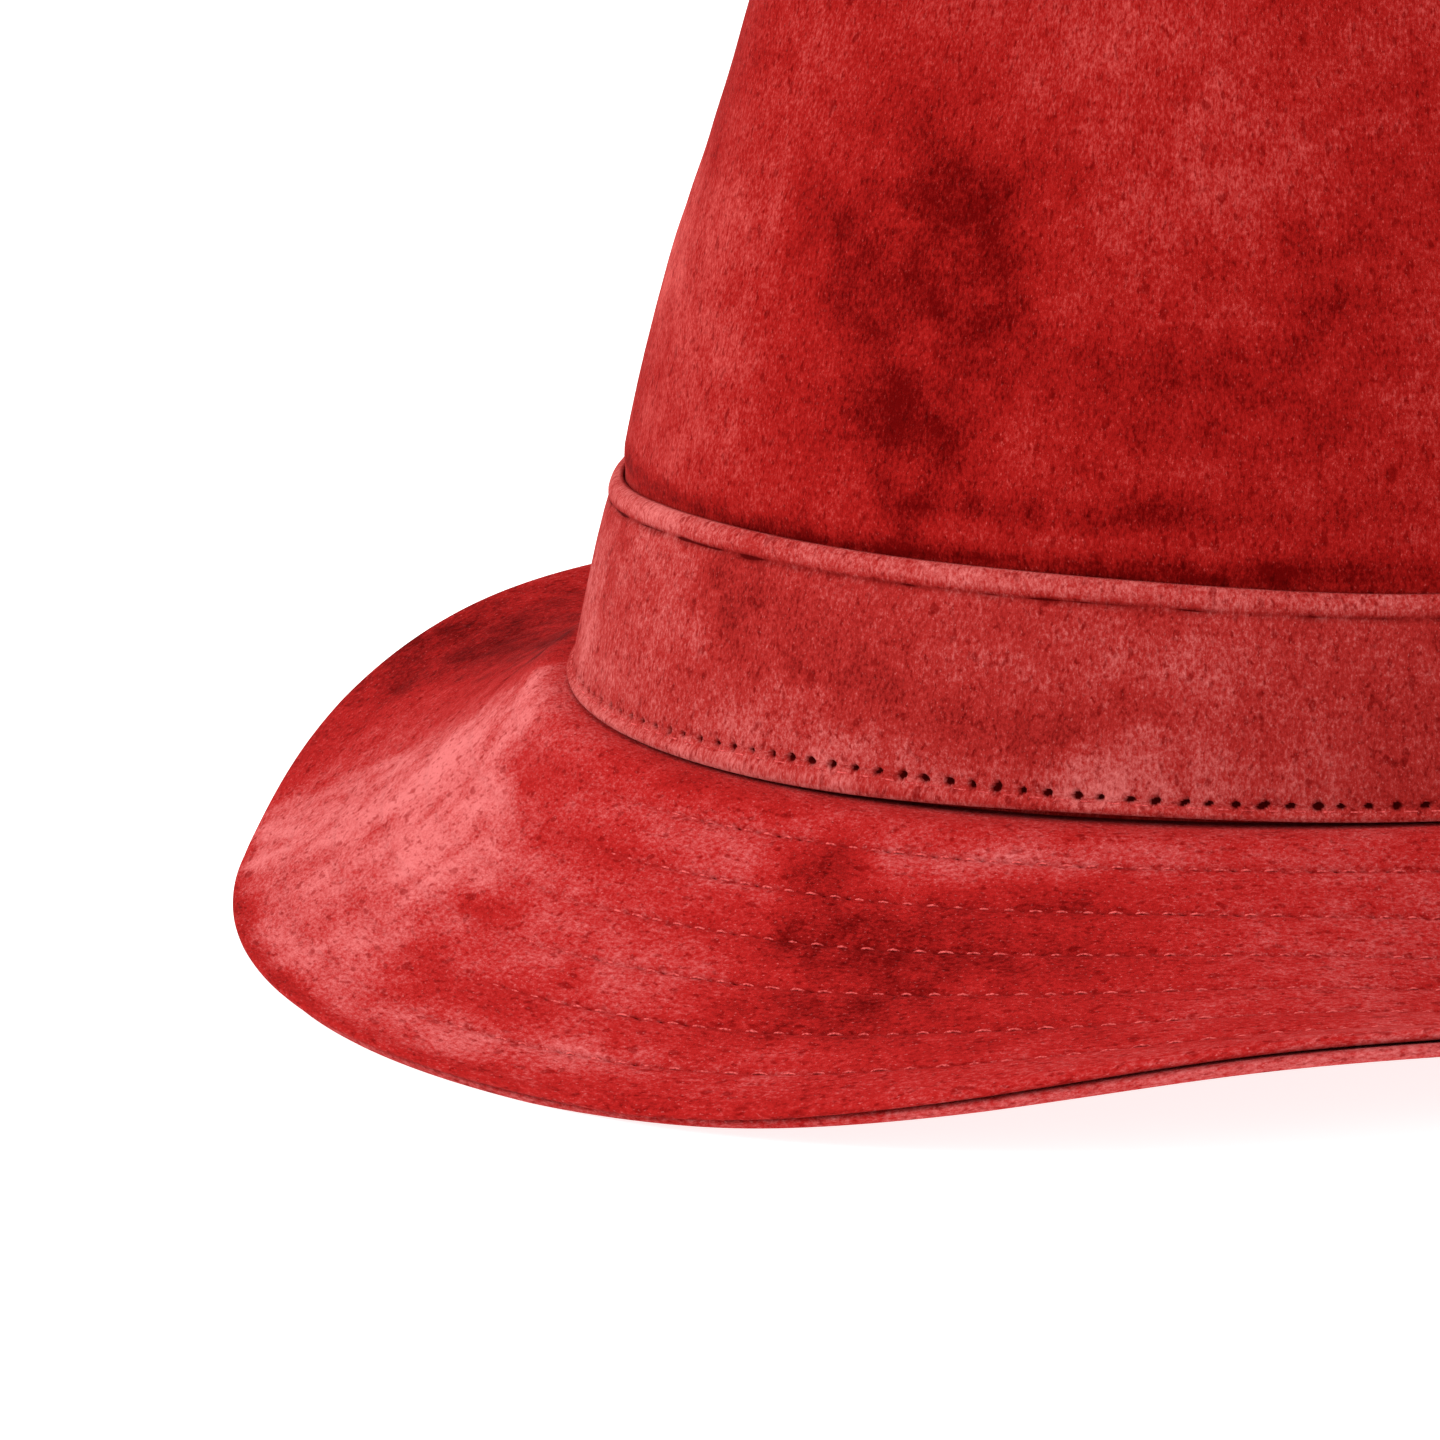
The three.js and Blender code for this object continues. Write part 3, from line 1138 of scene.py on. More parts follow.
@dataclass
class Crown:
    """The soft crown: a tapered wall, a pinched front and a dented top."""

    columns: int = 480
    wall_rings: int = 84
    crest_rings: int = 22
    dent_rings: int = 24
    inner_every: int = 3
    slack: float = 0.35
    slack_size: float = 26.0
    slack_from: Span = (24.0, 40.0)
    ripple: float = 0.1
    ripple_size: float = 6.0
    fullness: float = 0.85
    fullness_from: Span = (-0.2, 3.0)
    finish: SuedeFinish = SuedeFinish(
        "crown suede",
        deep=(0.1, 0.0006, 0.0006, 1.0),
        middle=(0.29, 0.0072, 0.006, 1.0),
        pale=(0.53, 0.078, 0.07, 1.0),
    )

    def outer_rings(self, turn: np.ndarray) -> np.ndarray:
        """Outer face of the crown from its foot into the dent.

        Args:
            turn: Degrees round the hat of each column.

        Returns:
            Points by ring and column.
        """
        top = FORM.fold_height(turn)
        wall_top = top - FORM.crest_wall_side
        rings = []
        for ring in range(self.wall_rings):
            height = wall_top * ring / (self.wall_rings - 1)
            rings.append(FORM.place(turn, -FORM.wall_inset(turn, height), height))
        fold = FORM.place(turn, -FORM.wall_inset(turn, top), top)
        centre = np.array(FORM.dent_centre)
        inward = centre[:2] - fold[:, :2]
        distance = np.linalg.norm(inward, axis=1)
        inward /= distance[:, None]
        reach = distance - FORM.crest_inward
        edge = fold.copy()
        edge[:, :2] += inward * FORM.crest_inward
        edge[:, 2] -= FORM.crest_drop
        start = rings[-1]
        for ring in range(1, self.crest_rings + 1):
            along = ring / self.crest_rings
            rings.append((1 - along) ** 2 * start + 2 * along * (1 - along) * fold + along**2 * edge)
        depth = edge[:, 2] - centre[2]
        fall = FORM.crest_drop / FORM.crest_inward * reach
        for ring in range(1, self.dent_rings + 1):
            left = 1 - ring / (self.dent_rings + 1)
            rise = depth * left**2 * (3 - 2 * left) + fall * left**2 * (left - 1)
            point = np.empty_like(edge)
            point[:, :2] = centre[:2] - inward * (reach * left)[:, None]
            point[:, 2] = centre[2] + rise
            rings.append(point)
        return np.array(rings)

    def sway(self, turn: np.ndarray, outer: np.ndarray) -> np.ndarray:
        """How far the soft suede stands out from its plain form.

        Args:
            turn: Degrees round the hat of each column.
            outer: Plain outer face by ring and column.

        Returns:
            Distances by ring and column.
        """
        height = outer[..., 2]
        free = smooth_step(height, *self.slack_from)
        sway = self.slack * soft_noise(outer, self.slack_size, Seed.CROWN_SLACK) * free
        sway += self.ripple * soft_noise(outer, self.ripple_size, Seed.CROWN_RIPPLE)
        above_band = height - FORM.band_height(turn, FORM.band_top)
        return sway + self.fullness * smooth_step(above_band, *self.fullness_from)

    def build(self, groups: SuedeGroups) -> bpy.types.Object:
        """Builds the crown over its CAD node.

        Args:
            groups: The shared suede node groups.

        Returns:
            The crown.
        """
        turn = FORM.even_turns(self.columns)
        outer = self.outer_rings(turn)
        normals = ring_normals(outer)
        inner = outer - normals * FORM.crown_wall
        inner[0] = FORM.place(turn, -FORM.crown_wall, 0)
        # Nap with the strokes' painted light and shade.
        nap = NAP_AND_LIGHT.shade(Part.CROWN, np.broadcast_to(turn, outer.shape[:2]), outer[..., 2], outer)
        outer = outer + normals * self.sway(turn, outer)[..., None]
        keep = kept_rings(len(inner), self.inner_every)
        rested = FORM.rested(np.concatenate([outer[::-1], inner[keep]]))
        shades = np.concatenate([nap[::-1], np.full((len(keep), self.columns), INNER_NAP)])
        centre = np.array(FORM.dent_centre)
        poles = FORM.rested(np.array([centre, centre - [0, 0, FORM.crown_wall]]))
        near = self.dent_rings + self.crest_rings // 2
        skin = RingSkin(
            "suede_crown",
            rested,
            section_lengths(rested, False),
            FORM.foot_girth(),
            poles[0],
            poles[1],
            {"nap": shades, "seam": np.zeros_like(shades)},
            [*range(near), *range(len(rested) - near // self.inner_every, len(rested) - 1)],
        )
        made = skin.build(self.finish.material(groups), Slot.CROWN)
        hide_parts("crown")
        return made


@dataclass
class Stitches:
    """Rows of thread stitches, joined into one piece.

    Args:
        name: Name of the piece.
        radius: Radius of the thread.
        arch: How far the middle of a stitch stands up.
        sides: Sides of the thread's section.
        steps: Sections along a stitch.
        sink: How deep its ends go down.
        flatness: Power that flattens the arch, less for a flatter one.
        thin_end: Thickness at the ends, as a share of the middle's.
        points: Points of all stitches so far.
        faces: Faces of all stitches so far.
    """

    name: str
    radius: float
    arch: float
    sides: int = 6
    steps: int = 5
    sink: float = 0.22
    flatness: float = 0.6
    thin_end: float = 0.55
    points: list[np.ndarray] = field(default_factory=list)
    faces: list[list[int]] = field(default_factory=list)

    def add(self, start: np.ndarray, middle: np.ndarray, end: np.ndarray, normal: np.ndarray) -> None:
        """Adds one stitch as a small arched tube with closed ends.

        Args:
            start: Where the thread comes up.
            middle: The row's place half way along.
            end: Where the thread goes down.
            normal: Direction out of the surface.
        """
        along = np.linspace(0, 1, self.steps)[:, None]
        pull = 2 * middle - (start + end) / 2
        line = (1 - along) ** 2 * start + 2 * along * (1 - along) * pull + along**2 * end
        rise = np.sin(np.pi * along) ** self.flatness * (self.arch + self.sink) - self.sink
        line = line + normal * rise
        forward = end - start
        forward = forward / np.linalg.norm(forward)
        side = np.cross(normal, forward)
        angle = np.linspace(0, 2 * np.pi, self.sides, endpoint=False)
        wide = (np.cos(angle)[:, None] * side + np.sin(angle)[:, None] * normal) * self.radius
        taper = (self.thin_end + (1 - self.thin_end) * np.sin(np.pi * along))[:, :, None]
        tube = line[:, None, :] + wide[None] * taper
        base = len(self.points) * self.steps * self.sides
        for step in range(self.steps - 1):
            low, high = base + step * self.sides, base + (step + 1) * self.sides
            for corner in range(self.sides):
                right = (corner + 1) % self.sides
                self.faces.append([low + corner, low + right, high + right, high + corner])
        last = base + (self.steps - 1) * self.sides
        self.faces.append([base + corner for corner in reversed(range(self.sides))])
        self.faces.append([last + corner for corner in range(self.sides)])
        self.points.append(tube.reshape(-1, 3))

    def build(self, material: bpy.types.Material) -> bpy.types.Object:
        """Makes the piece from all stitches added so far.

        Args:
            material: The thread's material.

        Returns:
            The stitches as one piece, none of them below the floor.
        """
        points = FORM.rested(np.concatenate(self.points))
        points[:, 2] = np.maximum(points[:, 2], 0)
        return finish_piece(self.name, points, self.faces, None, {}, material)


@dataclass
class Band:
    """The band: a strip of suede with a folded top edge and a stitched foot."""

    stitches: int = 190
    columns_per_stitch: int = 9
    ring_step: float = 1.1
    inner_every: int = 5
    ripple: float = 0.12
    ripple_size: float = 11.0
    body_from: Span = (0.2, 2.0)
    body_to: Span = (26.8, 27.3)
    fold_seam: float = 24.65
    fold_spread: float = 1.4
    fold_wander: float = 0.22
    fold_wander_size: float = 9.0
    fold_lumps: float = 0.12
    fold_lump_size: float = 4.0
    fold_light: float = 0.38
    fold_light_from: Span = (24.9, 25.6)
    # Painted shade in the crease under the fold.
    crease_shade: float = 0.85
    crease_width: float = 0.3
    crease_whole: float = 0.65
    crease_broken: float = 0.8
    crease_size: float = 4.0
    hem_seam: float = 3.0
    hem_light: float = 0.15
    hem_light_to: Span = (1.8, 2.8)
    hem_turn: float = 28.0
    hem_spread: float = 22.0
    hem_fall: float = 1.2
    hem_fall_from: Span = (0.0, 2.6)
    hem_fall_to: Span = (3.6, 11.0)
    # Painted light on the foot, lifting the shade that falls under the band.
    foot_painted_light: float = 0.4
    foot_painted_light_to: Span = (0.2, 0.9)
    foot_turn: float = 47.0
    foot_spread: float = 17.0
    foot_lift: float = 0.8
    foot_lift_to: Span = (0.0, 3.0)
    hole_depth: float = 0.95
    # Painted shade in the needle holes.
    hole_shade: float = 1.35
    hole_rise: float = 0.35
    hole_stray: float = 0.12
    hole_sizes: Span = (0.75, 1.05)
    hole_slants: Span = (-0.2, 0.7)
    hole_widths: Span = (0.448, 0.672)
    hole_heights: Span = (0.45, 0.66)
    hole_edge: Span = (0.5, 1.1)
    hole_shares: TurnTable = TurnTable((0, 10, 20, 180), (0.8, 0.9, 1.0, 1.0))
    thread_drop: float = 0.4
    thread_radius: float = 0.11
    thread_arch: float = 0.03
    finish: SuedeFinish = SuedeFinish(
        "band suede",
        deep=(0.1, 0.001, 0.0009, 1.0),
        middle=(0.325, 0.0165, 0.0142, 1.0),
        pale=(0.57, 0.135, 0.126, 1.0),
    )
    section: tuple[BandRow, ...] = (
        BandRow(0.0, 1.3),
        BandRow(0.25, 1.85),
        BandRow(0.9, 2.05),
        BandRow(1.8, 2.0),
        BandRow(2.3, 1.82),
        BandRow(2.65, 1.6),
        BandRow(2.9, 1.52),
        BandRow(3.15, 1.5),
        BandRow(3.4, 1.5),
        BandRow(3.65, 1.5),
        BandRow(3.9, 1.5),
        BandRow(4.4, 1.52),
        BandRow(6.5, 1.55),
        BandRow(10.0, 1.58),
        BandRow(14.0, 1.58),
        BandRow(18.0, 1.55),
        BandRow(22.0, 1.45),
        BandRow(23.8, 1.36),
        BandRow(24.4, 1.2),
        BandRow(24.65, 1.08),
        BandRow(24.85, 1.2),
        BandRow(25.15, 1.4),
        BandRow(25.8, 1.52),
        BandRow(26.5, 1.42),
        BandRow(27.0, 1.15),
        BandRow(27.3, 0.8),
        BandRow(27.4, 0.5),
    )

    def profile(self) -> np.ndarray:
        """Lift and thickness along the outer face.

        Returns:
            Two columns, from the foot to the top.
        """
        fine = []
        for low, high in zip(self.section, self.section[1:]):
            parts = max(1, round((high.lift - low.lift) / self.ring_step))
            for part in range(parts):
                share = part / parts
                lift = low.lift + (high.lift - low.lift) * share
                fine.append((lift, low.thick + (high.thick - low.thick) * share))
        fine.append((self.section[-1].lift, self.section[-1].thick))
        return np.array(fine)

    def build(self, groups: SuedeGroups, thread: bpy.types.Material) -> list[bpy.types.Object]:
        """Builds the band over its CAD node, and the thread of its foot.

        Args:
            groups: The shared suede node groups.
            thread: The thread's material.

        Returns:
            The band and its stitches.
        """
        columns = self.stitches * self.columns_per_stitch
        turn = FORM.even_turns(columns)
        profile = self.profile()
        lift = np.repeat(profile[:, :1], columns, axis=1)
        thick = np.repeat(profile[:, 1:], columns, axis=1)
        ring_turn = np.broadcast_to(turn, lift.shape)
        plain = FORM.place(ring_turn, thick, lift)
        fold = hump(lift, self.fold_seam, self.fold_spread)
        lift = lift + self.fold_wander * fold * soft_noise(plain, self.fold_wander_size, Seed.FOLD_WANDER)
        body = smooth_step(lift, *self.body_from) * (1 - smooth_step(lift, *self.body_to))
        thick = thick + self.ripple * body * soft_noise(plain, self.ripple_size, Seed.BAND_RIPPLE)
        thick = thick + self.fold_lumps * fold * soft_noise(plain, self.fold_lump_size, Seed.FOLD_LUMPS)
        holes = self.hole_mask(profile[:, 0], turn)
        thick = thick - self.hole_depth * holes
        height = self.settle(ring_turn, FORM.band_height(ring_turn, lift))
        outer = FORM.place(ring_turn, FORM.seat_gap + thick - FORM.crown_taper * height, height)
        keep = kept_rings(len(profile), self.inner_every)
        inner = FORM.place(turn, FORM.seat_gap - FORM.crown_taper * height[keep], height[keep])
        rested = FORM.rested(np.concatenate([outer[::-1], inner]))
        # Nap with the strokes' painted light and shade, plus the lighter fold and hem and the painted light
        # on the foot.
        nap = NAP_AND_LIGHT.shade(Part.BAND, ring_turn, lift, outer) + self.lighter_edges(lift)
        # Painted shade in the needle holes and in the crease under the fold.
        seam = np.maximum(holes * self.hole_shade, self.creased(lift, plain))
        back = np.full((len(keep), columns), INNER_NAP)
        values = {
            "nap": np.concatenate([nap[::-1], back]),
            "seam": np.concatenate([np.clip(seam, 0, 1)[::-1], np.zeros_like(back)]),
        }
        lengths = section_lengths(rested, True)
        skin = RingSkin("suede_band", rested, lengths, FORM.foot_girth(), values=values)
        made = skin.build(self.finish.material(groups), Slot.BAND)
        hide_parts("band")
        return [made, self.sew(outer, profile[:, 0], thread)]

    def lighter_edges(self, lift: np.ndarray) -> np.ndarray:
        """Lighter fold and hem, and painted light on the foot where shade falls under the band.

        Args:
            lift: Height of each point on an even band.

        Returns:
            What is added to the nap at each point.
        """
        fold = self.fold_light * smooth_step(lift, *self.fold_light_from)
        hem = self.hem_light * (1 - smooth_step(lift, *self.hem_light_to))
        foot = self.foot_painted_light * (1 - smooth_step(lift, *self.foot_painted_light_to))
        return fold + (hem + foot)

    def creased(self, lift: np.ndarray, plain: np.ndarray) -> np.ndarray:
        """Painted shade in the crease under the fold, broken here and there.

        Args:
            lift: Height of each point on an even band.
            plain: Points of the even band.

        Returns:
            How dark the line is at each point.
        """
        broken = soft_noise(plain, self.crease_size, Seed.FOLD_CREASE)
        line = self.crease_shade * hump(lift, self.fold_seam, self.crease_width)
        return line * (self.crease_whole + self.crease_broken * broken)

    def settle(self, turn: np.ndarray, height: np.ndarray) -> np.ndarray:
        """Lets the hem sit as it was sewn, with its seam falling to the sides and its foot standing off.

        Args:
            turn: Degrees round the hat at each point.
            height: Height of each point of an even band.

        Returns:
            The height of each point of the band as sewn.
        """
        fall = self.hem_fall * (1 - hump(turn, self.hem_turn, self.hem_spread))
        fall = fall * smooth_step(height, *self.hem_fall_from) * (1 - smooth_step(height, *self.hem_fall_to))
        height = height - fall
        stand = self.foot_lift * hump(turn, self.foot_turn, self.foot_spread)
        return height + stand * (1 - smooth_step(height, *self.foot_lift_to))

    def hole_mask(self, lifts: np.ndarray, turn: np.ndarray) -> np.ndarray:
        """Depth of the needle holes along the hem, from 0 to 1.

        Args:
            lifts: Height of each ring.
            turn: Degrees round the hat of each column.

        Returns:
            Values by ring and column.
        """
        columns = len(turn)
        draw = np.random.default_rng(Seed.BAND_HOLES)
        pitch = FORM.foot_girth() / columns
        reach = self.columns_per_stitch // 2 + 1
        rise = (lifts - self.hem_seam - self.hole_rise)[:, None]
        holes = np.zeros((len(lifts), columns))
        for stitch in range(self.stitches):
            centre = (stitch + draw.uniform(-self.hole_stray, self.hole_stray)) * self.columns_per_stitch
            near = round(centre) + np.arange(-reach, reach)
            share = float(self.hole_shares.at(turn[round(centre) % columns]))
            size = draw.uniform(*self.hole_sizes) * share
            aside = (near - centre) * pitch - draw.uniform(*self.hole_slants) * rise
            width = draw.uniform(*self.hole_widths)
            height = draw.uniform(*self.hole_heights)
            away = np.hypot(aside / width, rise / height) / size
            near = near % columns
            holes[:, near] = np.maximum(holes[:, near], 1 - smooth_step(away, *self.hole_edge))
        return holes

    def sew(self, outer: np.ndarray, lifts: np.ndarray, thread: bpy.types.Material) -> bpy.types.Object:
        """Lays the thread between the needle holes of the foot.

        Args:
            outer: Outer face of the band by ring and column.
            lifts: Height of each ring.
            thread: The thread's material.

        Returns:
            The stitches as one piece.
        """
        sewn = Stitches("band_stitches", self.thread_radius, self.thread_arch)
        line = outer[int(np.argmin(np.abs(lifts - (self.hem_seam - self.thread_drop))))]
        columns = len(line)
        out = FORM.outward(FORM.even_turns(columns))
        for stitch in range(self.stitches):
            first = stitch * self.columns_per_stitch + 1
            last = first + self.columns_per_stitch - 2
            middle = (first + last) // 2
            normal = np.array([*out[middle % columns], FORM.crown_taper])
            normal /= np.linalg.norm(normal)
            sewn.add(line[first % columns], line[middle % columns], line[last % columns], normal)
        return sewn.build(thread)


@dataclass
class Brim:
    """The brim: two plies of suede sewn together by rows of stitches."""

    stitches: int = 216
    columns_per_stitch: int = 4
    rows: int = 6
    first_row: float = 7.8
    row_pitch: float = 7.06
    beside_rows: tuple[float, ...] = (-1.7, -1.05, -0.6, -0.3, 0.0, 0.3, 0.6, 1.05, 1.7)
    between_rows: tuple[float, ...] = (2.7, 3.53, 4.36)
    shoulder_end: float = 5.3
    shoulder_step: float = 0.65
    beyond_rows: float = 2.4
    rim_stations: int = 4
    girth_share: float = 1.2
    puff: float = 0.2
    puff_width: float = 1.9
    groove: float = 0.24
    groove_width: float = 0.5
    quilted_from: Span = (1.0, 4.0)
    row_shade: float = 0.2
    row_shade_width: float = 0.4
    hole_depth: float = 0.3
    # Painted shade in the needle holes.
    hole_shade: float = 0.8
    hole_sizes: Span = (0.3, 1.0)
    hidden_from: float = -88.0
    hidden_to: float = 4.0
    hidden_fade: float = 18.0
    hidden_rows: float = 0.3
    hidden_quilting: float = 0.4
    thread_radius: float = 0.14
    thread_arch: float = 0.13
    thread_sink: float = 0.3
    thread_rises: Span = (0.75, 1.3)
    thread_gaps: Span = (0.08, 0.2)
    slack: float = 0.3
    slack_size: float = 30.0
    slack_from: Span = (2.0, 12.0)
    rim_stiffness: float = 0.6
    rim_from: Span = (40.0, 50.0)
    back_every: int = 7
    back_nap: float = -0.3
    # Painted shade in the gap where the upper ply laps over the under ply, more where they part.
    lap_runs: Span = (0.3, 0.65)
    lap_rings: int = 9
    lap_shade: float = 0.1
    lap_parted: float = 0.3
    lap_parts: Span = (-0.9, 0.4)
    lap_shade_from: Span = (0.1, 0.9)
    roll_rings: int = 15
    roll_round: float = 0.95
    roll_feet: tuple[float, ...] = (1.15, 0.8, 0.45)
    roll_fullness: tuple[float, ...] = (0.96, 0.75, 0.3)
    roll_light: float = 0.3
    # Painted shade on the upper side of the rolled edge, where it meets the upper ply.
    roll_shade: float = 0.35
    roll_shade_from: Span = (0.35, 0.95)
    under_every: int = 2
    under_upper_every: int = 5
    under_relief: float = 0.7
    under_flat: float = 2.5
    under_nap_turn: float = 90.0
    finish: SuedeFinish = SuedeFinish(
        "brim suede",
        deep=(0.105, 0.0009, 0.0008, 1.0),
        middle=(0.355, 0.0108, 0.01, 1.0),
        pale=(0.6, 0.14, 0.137, 1.0),
        stretch=(0.6, 1.0),
        contrast=3.3,
    )

    def row_reaches(self) -> np.ndarray:
        """Reach of each row of stitches from the brim's root."""
        return self.first_row + self.row_pitch * np.arange(self.rows)

    def off_rows(self, stations: np.ndarray) -> np.ndarray:
        """Distance of each station from the nearest row of stitches."""
        return np.abs(stations[:, None] - self.row_reaches()).min(axis=1)

    def roll_start(self) -> float:
        """Reach at which the rolled edge starts."""
        return FORM.brim_width - FORM.roll_width

    def fine_stations(self) -> np.ndarray:
        """Stations of a sewn face, close together beside each row of stitches.

        Returns:
            Rising reaches from the brim's root, negative under the band.
        """
        rows = self.row_reaches()
        sewn = (rows[:, None] + np.array(self.beside_rows)).reshape(-1)
        gaps = (rows[:-1, None] + np.array(self.between_rows)).reshape(-1)
        shoulder = np.arange(0, self.shoulder_end, self.shoulder_step)
        rim = np.linspace(rows[-1] + self.beyond_rows, self.roll_start(), self.rim_stations)
        flange = [-FORM.brim_root - FORM.crown_wall, -FORM.brim_root / 2]
        return np.unique(np.concatenate([flange, shoulder, sewn, gaps, rim]).round(4))

    def quilting(self, stations: np.ndarray) -> np.ndarray:
        """Height of the quilted face over the plain one.

        Args:
            stations: Reach of each ring.

        Returns:
            One height for each station.
        """
        nearest = self.off_rows(stations)
        puff = self.puff * (1 - hump(nearest, 0.0, self.puff_width))
        groove = self.groove * hump(nearest, 0.0, self.groove_width)
        return (puff - groove) * smooth_step(stations, *self.quilted_from)

    def row_grooves(self, stations: np.ndarray) -> np.ndarray:
        """Painted shade in the grooves of the stitch rows at each station."""
        return self.row_shade * hump(self.off_rows(stations), 0.0, self.row_shade_width)

    def shown(self, turn: np.ndarray, hidden: float = 0.0) -> np.ndarray:
        """How much of the rows stands out of the nap.

        Args:
            turn: Degrees round the hat.
            hidden: What is left of them where the nap hides them.

        Returns:
            One share for each turn, up to 1.
        """
        after = smooth_step(turn, self.hidden_to, self.hidden_to + self.hidden_fade)
        before = 1 - smooth_step(turn, self.hidden_from - self.hidden_fade, self.hidden_from)
        return hidden + (1 - hidden) * np.maximum(after, before)

    def hole_mask(self, stations: np.ndarray, columns: int) -> np.ndarray:
        """Needle holes of all rows, from 0 to 1.

        Args:
            stations: Reach of each ring.
            columns: Columns round the brim.

        Returns:
            Values by ring and column.
        """
        draw = np.random.default_rng(Seed.BRIM_HOLES)
        holes = np.zeros((len(stations), columns))
        for number, reach in enumerate(self.row_reaches()):
            row = int(np.argmin(np.abs(stations - reach)))
            places = (np.arange(self.stitches) * self.columns_per_stitch + number) % columns
            holes[row, places] = draw.uniform(*self.hole_sizes, self.stitches)
        return holes

    def points(
        self, turn: np.ndarray, stations: np.ndarray, depth: np.ndarray, beyond: np.ndarray
    ) -> tuple[np.ndarray, np.ndarray]:
        """Points of a ply in the resting pose, pressed flat on the ground.

        Args:
            turn: Degrees round the hat of each column.
            stations: Reach of each ring.
            depth: Depth below the brim's upper face, by ring and column.
            beyond: How far each point lies beyond its station, by ring and column.

        Returns:
            The points, and the directions out of the upper face in the hat's frame.
        """
        order = np.argsort(stations, kind="stable")
        out, height, slope = FORM.walk_brim(turn, stations[order])
        back = np.argsort(order, kind="stable")
        out, height, slope = out[back], height[back], slope[back]
        sin, cos = np.sin(slope), np.cos(slope)
        out = out + beyond * cos - depth * sin
        height = height - beyond * sin - depth * cos
        rested = FORM.rested(FORM.place(turn, out, height))
        clearance = np.maximum(FORM.stack - depth, 0)
        rested[..., 2] = np.maximum(rested[..., 2], clearance)
        level = FORM.outward(turn)
        up = np.stack([level[:, 0] * sin, level[:, 1] * sin, cos], axis=-1)
        return rested, up

    def sway(self, turn: np.ndarray, stations: np.ndarray) -> np.ndarray:
        """Soft unevenness of both plies.

        Args:
            turn: Degrees round the hat of each column.
            stations: Reach of each ring.

        Returns:
            Heights by ring and column.
        """
        flat = np.zeros((len(stations), len(turn)))
        plain, _ = self.points(turn, stations, flat, flat)
        stiff = self.rim_stiffness * smooth_step(stations, *self.rim_from)
        free = smooth_step(stations, *self.slack_from) * (1 - stiff)
        return self.slack * free[:, None] * soft_noise(plain, self.slack_size, Seed.BRIM_SLACK)

    def build(self, groups: SuedeGroups, thread: bpy.types.Material) -> list[bpy.types.Object]:
        """Builds both plies over their CAD nodes and the stitches that hold them.

        Args:
            groups: The shared suede node groups.
            thread: The thread's material.

        Returns:
            The pieces of the brim.
        """
        suede = self.finish.material(groups)
        return [*self.build_upper(suede, thread), *self.build_under(suede, thread)]

    def skin(self, name: str, rings: np.ndarray, nap: np.ndarray, seam: np.ndarray) -> RingSkin:
        """Skin of one ply over its rings."""
        girth = FORM.foot_girth() * self.girth_share
        return RingSkin(name, rings, section_lengths(rings, True), girth, values={"nap": nap, "seam": seam})

    def build_upper(self, suede: bpy.types.Material, thread: bpy.types.Material) -> list[bpy.types.Object]:
        """Builds the upper ply, its edge lapped over the under ply at the front, and its stitches.

        Args:
            suede: The brim's material.
            thread: The thread's material.

        Returns:
            The ply and its stitches.
        """
        columns = self.stitches * self.columns_per_stitch
        turn = FORM.even_turns(columns)
        face = self.fine_stations()
        tip = self.roll_start()
        angle = np.radians(np.linspace(90, -90, self.lap_rings))
        straight = FORM.roll_width - np.maximum(FORM.under_lead(turn), 0) - FORM.edge_round
        run = np.array(self.lap_runs)[:, None] * straight
        bend = straight + np.cos(angle)[:, None] * FORM.edge_round
        back = np.append(face[:: self.back_every], tip)[::-1]
        stations = np.concatenate([face, np.full(len(run) + len(angle), tip), back])
        beyond = np.concatenate([np.zeros((len(face), columns)), run, bend, np.zeros((len(back), columns))])
        holes = self.hole_mask(face, columns) * self.shown(turn, self.hidden_rows)
        relief = self.quilting(face)[:, None] * self.shown(turn, self.hidden_quilting)
        relief = relief - self.hole_depth * holes
        bend_depth = FORM.ply / 2 - np.sin(angle) * FORM.ply / 2
        plain = np.repeat(np.append(bend_depth, np.full(len(back), FORM.ply))[:, None], columns, axis=1)
        depth = np.concatenate([-relief, np.repeat(-relief[-1:], len(run), axis=0), plain])
        depth = depth - self.sway(turn, stations)
        rings, up = self.points(turn, stations, depth, beyond)
        place = stations[:, None] + beyond
        # Nap with the strokes' painted light and shade.
        nap = NAP_AND_LIGHT.shade(Part.BRIM, np.broadcast_to(turn, place.shape), place, rings)
        nap[-len(back) :] = self.back_nap
        seam = np.zeros_like(nap)
        # Painted shade in the stitch grooves and needle holes.
        grooves = self.row_grooves(face)[:, None] * self.shown(turn, self.hidden_rows)
        seam[: len(face)] = np.maximum(grooves, self.hole_shade * holes)
        lap = len(face) + len(run)
        # Painted shade in the gap under the upper ply's lapped edge, more where the under ply stands out.
        parted = self.lap_shade + self.lap_parted * smooth_step(FORM.under_lead(turn), *self.lap_parts)
        below = smooth_step(-np.sin(angle), *self.lap_shade_from)
        seam[lap : lap + len(angle)] = below[:, None] * parted
        made = self.skin("suede_brim_upper", rings, nap, seam).build(suede, Slot.BRIM)
        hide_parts("brim_upper")
        return [made, self.sew("brim_stitches", rings, up, face, 1.0, thread)]

